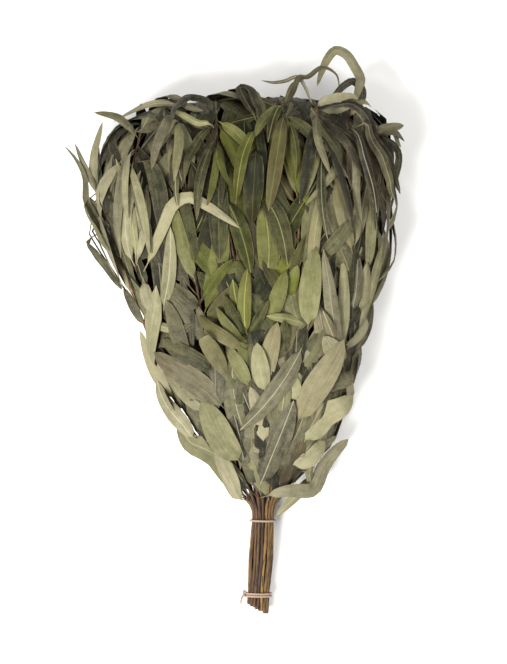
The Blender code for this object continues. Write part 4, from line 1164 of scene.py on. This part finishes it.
# Stem: a rough tube with a swelling at each leaf and a slanted cut
stemForm = {
    "sides": 10,
    "ribs": 0.05,             # depth of the lengthwise ribs, as a share of the radius
    "ribTurn": 0.02,          # how fast the ribs wind round the stem
    "dents": 0.03,
    "dentTurn": 0.35,
    "node": 0.225,            # how far the stem swells at a leaf
    "nodeLength": 2.4,
    "knots": 3,               # old leaf scars in the handle
    "knotsAt": (20, 90),
    "knot": 0.22,
    "knotLength": 2.2,
    "wander": 0.75,
    "wanderFrom": 20,
    "wanderLength": (14, 26),
    "handleStations": 24,
    "cutRim": 0.86,
    "cutStep": 0.25,
    "cutSlant": 0.5,
    "ochre": (-0.2, 0.8),     # how ochre and how red the bark of a branch may be
    "red": (-1.2, 0.6),
}


def stemGrid(branch, rng):
    # Place(s, angle) = path(s) + radius(s, angle) * (side * cos + over * sin)
    form = stemForm
    path = branch.finePath
    grip = columnsAt(np.linspace(path[0, 1], handle["neckY"], form["handleStations"]),
                     path[:4, 1], path[:4])
    # Dried stems are never quite straight: they wander a little between the ties
    low = form["wanderFrom"]
    free = np.sin(np.clip((grip[:, 1] - low) / (handle["neckY"] - low), 0, 1) * math.pi)
    for axis in (0, 2):
        phase, waves = rng.uniform(0, 6.3), rng.uniform(*form["wanderLength"])
        grip[:, axis] += form["wander"] * free * np.sin(grip[:, 1] / waves + phase)
    path = np.vstack([grip, path[4:]])
    tangent = unit(np.gradient(path, axis=0))
    side = unit(np.cross(tangent, [0.0, 0.0, 1.0]))
    over = np.cross(side, tangent)
    along = np.concatenate([[0], np.cumsum(np.linalg.norm(np.diff(path, axis=0), axis=1))])
    radius = stemRadii(path)
    for laid in branch.leaves:
        distance = np.linalg.norm(path - laid["centres"][0], axis=1)
        radius = radius + form["node"] * np.exp(-(distance / form["nodeLength"]) ** 2)
    for _ in range(form["knots"]):
        distance = path[:, 1] - rng.uniform(*form["knotsAt"])
        radius = radius + form["knot"] * np.exp(-(distance / form["knotLength"]) ** 2)
    angle = np.arange(form["sides"]) * 2 * math.pi / form["sides"]
    length = along[:, None]
    ribs = 1 + form["ribs"] * np.cos(3 * angle + length * form["ribTurn"] + rng.uniform(0, 6))
    ribs = ribs + form["dents"] * np.sin(angle + length * form["dentTurn"] + rng.uniform(0, 6))
    across = radius[:, None] * ribs * np.cos(angle)
    up = radius[:, None] * ribs * np.sin(angle)
    points = path[:, None] + side[:, None] * across[..., None] + over[:, None] * up[..., None]
    place = np.stack([across, up, np.broadcast_to(length, up.shape)], axis=-1)
    # The cut: one more ring, a little narrower, shut by its cap
    slant = np.array([0, rng.uniform(-form["cutSlant"], form["cutSlant"]), 0])
    rim = path[0] + (points[0] - path[0]) * form["cutRim"] - [0, form["cutStep"], 0]
    rim = rim + slant * np.cos(angle)[:, None]
    points = np.concatenate([rim[None], points])
    place = np.concatenate([place[:1], place])
    return points, place


# Tones: how grey, how pale and how brown a leaf is, by where it lies and what kind it is. Part of
# the paleness is painted shade: on the upper end, on the right of the leaf end and on leaves under
# others
leafTone = {
    "oliveMiddle": (12, 392),     # the green middle of the side in view
    "oliveReach": (66, 128),
    "oliveEdges": (1.45, 0.65),   # where the green starts and where it is full, in reaches
    "oliveLeast": 0.1,
    "oliveBehind": 0.15,
    "pale": 0.58,
    "upper": (300, 460),          # the y where painted shade starts on the leaves, and where it is full
    "upperPaintedShade": 0.22,
    "left": (-50, -90),           # the x where that painted shade starts to lessen, and where it is least
    "leftShare": 0.6,
    "oliveDarker": 0.1,
    # the x and the y where painted shade on the right of the leaf end starts, and where it is full
    "rightEnd": ((50, 110), (400, 460)),
    "rightEndPaintedShade": 0.06,
    "greySpread": 0.25,           # from leaf to leaf
    "paleSpread": 0.38,
    "brown": (-0.15, 0.2),        # its middle and spread; below 0 there is none
    # How much grey, pale and brown may change from the stalk to the tip
    "change": ((-0.3, 0.3), (-0.3, 0.35), (-0.15, 0.25)),
}
looks = {
    None: (0, 0, 0),
    "dark": (0, -0.35, 0),
    "pale": (0.2, 0.3, 0),
    "tan": (0, 0.2, 0.2),
    "pink": (0.2, 0.2, 0.15),
}
# Painted shade by kind: the leaves that lie under others are painted darker, the deeper the darker
kindPaintedShade = {"planned": 0, "rule": -0.05, "crown": -0.08, "tucked": -0.28, "deep": -0.42,
             "inner": -0.4}


def leafTraits(laid, rings, frontSide, rng):
    # (grey, pale, brown) at each ring of a leaf
    tone = leafTone
    x, y, _ = laid["centres"][len(laid["centres"]) // 2]
    olive = tone["oliveBehind"]
    if frontSide:
        away = math.hypot(*[(place - middle) / reach for place, middle, reach in
                            zip((x, y), tone["oliveMiddle"], tone["oliveReach"])])
        least = tone["oliveLeast"]
        olive = least + (1 - least) * between(away, *tone["oliveEdges"])
    # Painted shade: darker at the upper end, less so on its left, and on the right of the leaf end
    right, end = tone["rightEnd"]
    upper = between(y, *tone["upper"]) * (1 - tone["leftShare"] * between(x, *tone["left"]))
    pale = (tone["pale"] - tone["upperPaintedShade"] * upper - tone["oliveDarker"] * olive
            - tone["rightEndPaintedShade"] * between(x, *right) * between(y, *end))
    moreGrey, morePale, moreBrown = looks[laid["look"]]
    grey = 1 - olive + rng.uniform(-tone["greySpread"], tone["greySpread"]) + moreGrey
    # Each leaf's own random tone and look, and painted shade for a leaf that lies under others
    pale += (rng.uniform(-tone["paleSpread"], tone["paleSpread"]) + morePale
             + kindPaintedShade[laid["kind"]])
    brown = max(0, rng.gauss(*tone["brown"])) + moreBrown
    along = np.linspace(-0.5, 0.5, rings)[:, None, None]
    change = np.array([rng.uniform(*ends) for ends in tone["change"]])
    return np.clip([grey, pale, brown] + change * along, 0, 1)


def hexColour(code):
    # An sRGB hex colour as linear red, green, blue and alpha
    values = np.array([int(code[i:i + 2], 16) for i in (1, 3, 5)]) / 255
    linear = np.where(values <= 0.04045, values / 12.92, ((values + 0.055) / 1.055) ** 2.4)
    return (*linear.tolist(), 1.0)


def addNode(tree, kind, settings, links):
    # A node with its settings; an input is linked where it is given a node or a socket, and set
    # otherwise. A node stands for the first of its outputs that is in use.
    node = tree.nodes.new("ShaderNode" + kind)
    for name, value in settings.items():
        setattr(node, name, value)
    for socket, source in links.items():
        if isinstance(source, bpy.types.Node):
            source = next(output for output in source.outputs if output.enabled)
        if isinstance(source, bpy.types.NodeSocket):
            tree.links.new(source, node.inputs[socket])
        else:
            node.inputs[socket].default_value = source
    return node


def newMaterial(name):
    material = bpy.data.materials.new(name)
    material.use_nodes = True
    return material, material.node_tree, material.node_tree.nodes["Principled BSDF"]


def finishShader(tree, shader, colour, relief, finish):
    # The colour, and the relief as a bump
    bump = addNode(tree, "Bump", {}, {"Height": relief, "Distance": finish["reliefDepth"],
                                      "Strength": finish["reliefStrength"]})
    for source, socket in ((colour.outputs[2], "Base Color"), (bump.outputs[0], "Normal")):
        tree.links.new(source, shader.inputs[socket])


pointValues = ("surfacePlace", "traits", "seed")   # what each point of a piece says of itself
mixed = {"data_type": "RGBA"}
smooth = {"interpolation_type": "SMOOTHSTEP"}
times = {"operation": "MULTIPLY"}
timesPlus = {"operation": "MULTIPLY_ADD"}
minus = {"operation": "SUBTRACT"}
clamped = {"use_clamp": True}

# Dried eucalyptus leaf: a leathery leaf with a waxy bloom, dried flat and matt. The bloom makes
# the outer leaves grey, and the sheltered ones stay olive. The midrib is paler than the blade.
leafFinish = {
    "oliveDark": "#0E1004",
    "olivePale": "#5D611E",
    "greyDark": "#141209",
    "greyPale": "#898367",
    "brown": "#66573D",
    "ribOlive": "#A39F58",
    "ribGrey": "#B3AE92",
    "stalk": "#4C3825",
    "stalkLength": (9.0, 3.0),     # where the stalk's colour starts and where it is full
    "ribEdges": (0.714, 0.21),     # a midrib is about 0.8 mm wide and fades out at its sides
    "ribShare": 0.5,               # the palest midrib
    "ribRarity": 3.0,              # the higher, the fewer leaves have a pale midrib
    "veinSpacing": 2.6,            # side veins leave the midrib every 2 to 3 mm
    "veinWidth": 0.42,
    "veinLean": -1.15,             # how steeply they run forward
    "veinWander": 3.0,
    "veinShare": 0.05,
    "blotch": 9.0,                 # mottling of the bloom
    "speckle": 0.9,                # oil glands are finer; drawn as coarse as they need to show
    "streak": 3.2,                 # shallow folds from drying run along the leaf, some mm apart
    "stretch": 0.1,                # and are about ten times as long as they are wide
    "blotchPale": 0.5,             # how much each of the three lightens or darkens a leaf; for the streaks that is painted light and shade of the folds
    "streakPaintedShading": 0.55,
    "specklePale": 0.6,
    "blotchGrey": 0.5,
    "dryMargin": 1.6,              # how far the dried brown margin reaches in
    "dryShare": 0.6,
    "drySpots": (0.52, 0.7, 0.3),  # where its spots start and are full, and what is left between
    # What stands out in the relief, as shares of the midrib's height
    "relief": {"vein": 0.1, "streak": 7.0, "blotch": 1.6, "speckle": 0.3},
    "reliefDepth": 0.0002,
    "reliefStrength": 0.8,
    "sheen": 0.22,                 # a dried leaf is duller than smooth wax
    "roughness": (0.52, 0.78),
    "ior": 1.43,
}


def makeLeafMaterial(name, finish):
    material, tree, shader = newMaterial(name)
    place, traits, seed = [addNode(tree, "Attribute", {"attribute_name": value}, {}).outputs
                           for value in pointValues]
    where, trait = [addNode(tree, "SeparateXYZ", {}, {0: values["Vector"]}).outputs
                    for values in (place, traits)]
    across = addNode(tree, "Math", {"operation": "ABSOLUTE"}, {0: where["X"]})

    # Bloom, specks and folds, moved by each leaf's own number so that no two leaves match
    coords = addNode(tree, "TexCoord", {}, {})
    moved = addNode(tree, "VectorMath", timesPlus,
                    {0: seed["Vector"], 1: (3.1, 1.7, 2.3), 2: coords.outputs["Object"]})
    drawn = addNode(tree, "VectorMath", timesPlus,
                    {0: place["Vector"], 1: (1, finish["stretch"], 0), 2: seed["Vector"]})
    blotch = addNode(tree, "TexNoise", {}, {"Vector": moved, "Scale": 1000 / finish["blotch"],
                                            "Detail": 4.0, "Roughness": 0.6})
    speckle = addNode(tree, "TexNoise", {}, {"Vector": moved, "Detail": 2.0,
                                             "Scale": 1000 / finish["speckle"]})
    streak = addNode(tree, "TexNoise", {}, {"Vector": drawn, "Scale": 1 / finish["streak"],
                                            "Detail": 3.0, "Roughness": 0.55})
    grey = addNode(tree, "Math", timesPlus, {0: blotch, 1: finish["blotchGrey"], 2: trait["X"]})
    grey = addNode(tree, "Math", {**minus, **clamped}, {0: grey, 1: finish["blotchGrey"] / 2})
    pale = trait["Y"]
    # The streaks along the folds lighten and darken the colour: painted light and shade, over the
    # folds' own relief
    shares = (finish["blotchPale"], finish["streakPaintedShading"], finish["specklePale"])
    for noise, share in zip((blotch, streak, speckle), shares):
        pale = addNode(tree, "Math", timesPlus, {0: noise, 1: share, 2: pale})
    pale = addNode(tree, "Math", {**minus, **clamped}, {0: pale, 1: sum(shares) / 2})
    olive, ash = [addNode(tree, "Mix", mixed, {0: pale, 6: hexColour(finish[tone + "Dark"]),
                                               7: hexColour(finish[tone + "Pale"])})
                  for tone in ("olive", "grey")]
    colour = addNode(tree, "Mix", mixed, {0: grey, 6: olive, 7: ash})

    # Dried brown: the leaf's own share, and spots along the margin
    edge = addNode(tree, "Math", minus, {0: where["Z"], 1: across})
    margin = addNode(tree, "MapRange", smooth,
                     {"Value": edge, "From Min": finish["dryMargin"], "From Max": 0.0})
    low, high, least = finish["drySpots"]
    spots = addNode(tree, "MapRange", {}, {"Value": blotch, "From Min": low, "From Max": high,
                                           "To Min": least})
    rust = addNode(tree, "Math", times, {0: margin, 1: spots})
    rust = addNode(tree, "Math", {**timesPlus, **clamped},
                   {0: rust, 1: finish["dryShare"], 2: trait["Z"]})
    colour = addNode(tree, "Mix", mixed, {0: rust, 6: colour, 7: hexColour(finish["brown"])})

    # Side veins run out and forward from the midrib, evenly apart
    lean = addNode(tree, "Math", timesPlus, {0: across, 1: finish["veinLean"], 2: where["Y"]})
    lean = addNode(tree, "Math", timesPlus, {0: blotch, 1: finish["veinWander"], 2: lean})
    wave = addNode(tree, "Math", {"operation": "PINGPONG"},
                   {0: lean, 1: finish["veinSpacing"] / 2})
    vein = addNode(tree, "MapRange", smooth,
                   {"Value": wave, "From Min": finish["veinWidth"], "From Max": 0.0})
    outside, inside = finish["ribEdges"]
    rib = addNode(tree, "MapRange", smooth,
                  {"Value": across, "From Min": outside, "From Max": inside})
    ribColour = addNode(tree, "Mix", mixed, {0: trait["X"], 6: hexColour(finish["ribOlive"]),
                                             7: hexColour(finish["ribGrey"])})
    veinTint = addNode(tree, "Math", times, {0: vein, 1: finish["veinShare"]})
    own = addNode(tree, "Math", {"operation": "FRACT"}, {0: seed["Fac"]})
    own = addNode(tree, "Math", {"operation": "POWER"}, {0: own, 1: finish["ribRarity"]})
    ribTint = addNode(tree, "Math", times, {0: rib, 1: own})
    ribTint = addNode(tree, "Math", times, {0: ribTint, 1: finish["ribShare"]})
    for tint in (veinTint, ribTint):
        colour = addNode(tree, "Mix", mixed, {0: tint, 6: colour, 7: ribColour})

    # The stalk is woody and brown
    start, full = finish["stalkLength"]
    stalk = addNode(tree, "MapRange", smooth,
                    {"Value": where["Y"], "From Min": start, "From Max": full})
    colour = addNode(tree, "Mix", mixed, {0: stalk, 6: colour, 7: hexColour(finish["stalk"])})

    low, high = finish["roughness"]
    rough = addNode(tree, "MapRange", {}, {"Value": speckle, "To Min": low, "To Max": high})
    tree.links.new(rough.outputs[0], shader.inputs["Roughness"])
    shader.inputs["IOR"].default_value = finish["ior"]
    shader.inputs["Specular IOR Level"].default_value = finish["sheen"]

    # Relief: raised midrib and veins, shallow folds and a fine dried wrinkle
    relief = rib
    for source, share in zip((vein, streak, blotch, speckle), finish["relief"].values()):
        relief = addNode(tree, "Math", timesPlus, {0: source, 1: share, 2: relief})
    finishShader(tree, shader, colour, relief, finish)
    return material


# Eucalyptus twig bark: thin, dry and finely ribbed along the stem, brown to ochre
barkFinish = {
    "dark": "#0C0704",
    "brown": "#3A2512",
    "ochre": "#80602A",
    "red": "#401F14",
    "cut": "#5F4830",
    "streak": 1.1,            # width of the dark streaks between ribs
    "streakEdges": (0.55, 0.38),
    "patch": 4.4,             # length across of the ochre patches
    "patchShare": 0.9,
    "patchLevel": 0.42,
    "stretch": 0.09,          # streaks run about eleven times as long as they are wide
    "reliefDepth": 0.0004,
    "reliefStrength": 0.9,
    "roughness": 0.78,
}


def makeBarkMaterial(name, finish):
    material, tree, shader = newMaterial(name)
    place, traits, seed = [addNode(tree, "Attribute", {"attribute_name": value}, {}).outputs
                           for value in pointValues]
    trait = addNode(tree, "SeparateXYZ", {}, {0: traits["Vector"]}).outputs
    drawn = addNode(tree, "VectorMath", timesPlus,
                    {0: place["Vector"], 1: (1, 1, finish["stretch"]), 2: seed["Vector"]})
    streaks = addNode(tree, "TexNoise", {}, {"Vector": drawn, "Scale": 1 / finish["streak"],
                                             "Detail": 5.0, "Roughness": 0.65})
    patches = addNode(tree, "TexNoise", {}, {"Vector": drawn, "Scale": 1 / finish["patch"],
                                             "Detail": 2.0})
    tone = addNode(tree, "Math", timesPlus,
                   {0: patches, 1: finish["patchShare"], 2: trait["X"]})
    tone = addNode(tree, "Math", {**minus, **clamped}, {0: tone, 1: finish["patchLevel"]})
    high, low = finish["streakEdges"]
    lines = addNode(tree, "MapRange", smooth,
                    {"Value": streaks, "From Min": high, "From Max": low})
    colour = hexColour(finish["brown"])
    for share, tint in ((tone, "ochre"), (trait["Y"], "red"), (lines, "dark"),
                        (trait["Z"], "cut")):
        colour = addNode(tree, "Mix", mixed, {0: share, 6: colour, 7: hexColour(finish[tint])})
    shader.inputs["Roughness"].default_value = finish["roughness"]
    finishShader(tree, shader, colour, streaks, finish)
    return material


# Jute twine, two plies laid together: hairy and dull, pinkish beige, darker between the plies
twineFinish = {
    "fibre": "#A89080",
    "shade": "#6A5547",
    "fibreWidth": 0.35,       # drawn coarser than the real fibres of 0.05 mm, so that they show
    "stretch": 0.12,
    "fibreEdges": (0.56, 0.34),
    "reliefDepth": 0.0003,
    "reliefStrength": 0.9,
    "roughness": 0.9,
}


def makeTwineMaterial(name, finish):
    material, tree, shader = newMaterial(name)
    place = addNode(tree, "Attribute", {"attribute_name": pointValues[0]}, {}).outputs["Vector"]
    drawn = addNode(tree, "VectorMath", times, {0: place, 1: (1, 1, finish["stretch"])})
    fibres = addNode(tree, "TexNoise", {}, {"Vector": drawn, "Scale": 1 / finish["fibreWidth"],
                                            "Detail": 4.0, "Roughness": 0.6})
    high, low = finish["fibreEdges"]
    dark = addNode(tree, "MapRange", smooth,
                   {"Value": fibres, "From Min": high, "From Max": low})
    colour = addNode(tree, "Mix", mixed, {0: dark, 6: hexColour(finish["fibre"]),
                                          7: hexColour(finish["shade"])})
    shader.inputs["Roughness"].default_value = finish["roughness"]
    finishShader(tree, shader, colour, fibres, finish)
    return material


print("making materials")
leafMaterial = makeLeafMaterial("driedEucalyptusLeaf", leafFinish)
barkMaterial = makeBarkMaterial("twigBark", barkFinish)
twineMaterial = makeTwineMaterial("juteTwine", twineFinish)


def dressBranch(branch, frontSide):
    # The smooth stem and its leaves as one piece
    rng = random.Random(whisk["seed"] * 1000 + branch.number)
    piece = PieceMesh("leafy_" + branch.name)
    points, place = stemGrid(branch, rng)
    traits = np.zeros(points.shape)             # (ochre, red, cut)
    traits[..., 0] = rng.uniform(*stemForm["ochre"])
    traits[..., 1] = max(0, rng.uniform(*stemForm["red"]))
    traits[0, :, 2] = 1.0
    piece.add(points, place, traits, rng.uniform(0, 100), 0)
    for laid in branch.leaves:
        points, place = leafGrid(laid, rng)
        traits = leafTraits(laid, len(points), frontSide, rng)
        piece.add(points, place, traits, rng.uniform(0, 100), 1)
    return piece.build([barkMaterial, leafMaterial], branch.name)


print("dressing branches")
for i, branch in enumerate(front):
    dressBranch(branch, True)
for branch in back:
    dressBranch(branch, False)
for branch in inner:
    dressBranch(branch, True)


# Twine: two plies wound round one centreline
twineForm = {
    "plyRadius": 0.64,
    "plyOffset": 0.56,
    "pitch": 4.6,             # length of one turn of the plies
    "stepsPerPitch": 12,
    "sides": 8,
    "turnPlaces": 120,        # on each turn round the handle
    "knotAngle": 165,         # degrees from the right side, over the top
    "knotLift": 1.6,
    "loopPlaces": 30,
    "loopOut": (0.3, 1.1),    # middle and half size of the knot's loop, out from the handle
    "loopAlong": (1.8, 3.0),  # and along it
    "loopRound": 0.9,
    "tailPlaces": 16,
    # The tail: how far out from the handle, up along it and down round it
    "tail": ((0, 0, 0), (2.4, -1.5, 0.5), (3.6, -5, 1), (3.8, -9, 2)),
}


def headings(path, closed):
    # The way in which a path runs at each of its places
    if closed:
        return unit(np.roll(path, -1, axis=0) - np.roll(path, 1, axis=0))
    return unit(np.gradient(path, axis=0))


def twineStrands(piece, path, closed):
    # Ply(s) = path(s) + offset * (side * cos(turns) + over * sin(turns)), two plies half a turn
    # apart
    form = twineForm
    last = path[:1] if closed else path[-1:]
    lengths = np.linalg.norm(np.diff(path, axis=0, append=last), axis=1)
    total = lengths.sum()
    turns = max(1, round(total / form["pitch"]))
    steps = turns * form["stepsPerPitch"]
    around = np.vstack([path, path[:1]]) if closed else path
    along = np.concatenate([[0], np.cumsum(lengths)])[:len(around)]
    places = np.linspace(0, along[-1], steps, endpoint=not closed)
    middle = columnsAt(places, along, around)
    up = np.array([0.0, 1.0, 0.0] if closed else [0.31, 0.2, 0.93])
    tangent = headings(middle, closed)
    side = unit(np.cross(tangent, up))
    over = np.cross(side, tangent)
    spin = places / total * turns * 2 * math.pi
    for half in (0, math.pi):
        centre = middle + form["plyOffset"] * (side * np.cos(spin + half)[:, None]
                                               + over * np.sin(spin + half)[:, None])
        heading = headings(centre, closed)
        a = unit(np.cross(heading, up))
        b = np.cross(a, heading)
        angle = np.arange(form["sides"]) * 2 * math.pi / form["sides"]
        ring = a[:, None] * np.cos(angle)[:, None] + b[:, None] * np.sin(angle)[:, None]
        points = centre[:, None] + form["plyRadius"] * ring
        turn = angle + spin[:, None]
        place = np.stack([np.cos(turn), np.sin(turn),
                          np.broadcast_to(places[:, None] + half, turn.shape)], axis=-1)
        piece.add(points, place, np.zeros(3), half, 0, closed)


def tieTurn(y):
    # A ring round the handle, which stays clear of the table
    middleX, middleZ, _, _ = rowAt(y)
    middleZ = max(middleZ, tieOutside)
    angle = np.linspace(0, 2 * math.pi, twineForm["turnPlaces"], endpoint=False)
    return np.column_stack([middleX + tieRadius * np.cos(angle), np.full(len(angle), y),
                            middleZ + tieRadius * np.sin(angle)])


def knotPaths(y):
    # The knot's own turns, and the tail that leaves it towards the cut ends
    form = twineForm
    angle = math.radians(form["knotAngle"])
    middleX, middleZ, _, _ = rowAt(y)
    out = np.array([math.cos(angle), 0.0, math.sin(angle)])
    down = np.array([-math.sin(angle), 0.0, math.cos(angle)])
    along = np.array([0.0, 1.0, 0.0])
    centre = np.array([middleX, y, middleZ]) + out * (tieRadius + form["knotLift"])
    t = np.linspace(0, 2 * math.pi, form["loopPlaces"])[:, None]
    (outAt, outBy), (alongAt, alongBy) = form["loopOut"], form["loopAlong"]
    loop = (centre + out * (outAt + outBy * np.sin(t)) + along * (alongAt + alongBy * np.cos(t))
            + down * form["loopRound"] * np.sin(2 * t))
    tail = smoothCurve([centre + out * a + along * b + down * c for a, b, c in form["tail"]],
                       form["tailPlaces"])
    return [loop, tail]


print("winding the ties")
for name, turns in (("tie_upper", ties["upperY"]), ("tie_lower", ties["lowerY"])):
    piece = PieceMesh("twine_" + name)
    for y in turns:
        twineStrands(piece, tieTurn(y), True)
    if name == "tie_lower":
        for path in knotPaths(sum(turns) / len(turns)):
            twineStrands(piece, path, False)
    piece.build([twineMaterial], name)


# Table, lights and camera
studio = {
    "tableColour": "#F4F3F0",
    "tableRoughness": 0.9,
    "tableHalfWidth": 4.0,
    "tableDrop": 0.0005,      # so that the lowest leaves don't lie in its plane
    "cameraHeight": 3.4,
    "sensor": 36.0,
    "focusHeight": 0.065,     # the height at which the photograph's scale holds
    "frameHeight": 0.664,     # what the picture's height takes in there
    "centre": (0.020, 0.001),
    "aim": (0.02, 0.0, 0.05),
    # Place, size and energy of each light
    "lights": {"keyLight": ((-0.9, -0.95, 1.85), 0.9, 98.0),
               "fillLight": ((1.0, 1.0, 1.9), 1.5, 38.0)},
    "skyStrength": 0.42,
}


def makeTable():
    # A wide level sheet under the whisk
    material, _, shader = newMaterial("paleTable")
    shader.inputs["Base Color"].default_value = hexColour(studio["tableColour"])
    shader.inputs["Roughness"].default_value = studio["tableRoughness"]
    mesh = bpy.data.meshes.new("table")
    far = studio["tableHalfWidth"]
    corners = [(-far, -far, 0), (far, -far, 0), (far, far, 0), (-far, far, 0)]
    mesh.from_pydata(corners, [], [(0, 1, 2, 3)])
    mesh.materials.append(material)
    table = bpy.data.objects.new("table", mesh)
    table.location.z = -studio["tableDrop"]
    bpy.context.scene.collection.objects.link(table)


def addLight(name, place, size, energy):
    # A square lamp that looks at the whisk
    light = bpy.data.lights.new(name, "AREA")
    light.size = size
    light.energy = energy
    lamp = bpy.data.objects.new(name, light)
    lamp.location = place
    aim = unit(np.array(studio["aim"]) - place)
    lamp.rotation_euler = Vector(aim).to_track_quat("-Z", "Y").to_euler()
    bpy.context.scene.collection.objects.link(lamp)


print("setting the table, lights and camera")
makeTable()
for name, settings in studio["lights"].items():
    addLight(name, *settings)

scene = bpy.context.scene
scene.view_settings.view_transform = "Standard"
world = bpy.data.worlds.new("studioWorld")
world.use_nodes = True
sky = world.node_tree.nodes["Background"]
sky.inputs["Color"].default_value = (1, 1, 1, 1)
sky.inputs["Strength"].default_value = studio["skyStrength"]
scene.world = world

camera = bpy.data.cameras.new("camera")
camera.sensor_width = studio["sensor"]
distance = studio["cameraHeight"] - studio["focusHeight"]
camera.lens = camera.sensor_width * distance / studio["frameHeight"]
camera.clip_end = 20.0
viewer = bpy.data.objects.new("camera", camera)
viewer.location = (*studio["centre"], studio["cameraHeight"])
scene.collection.objects.link(viewer)
scene.camera = viewer
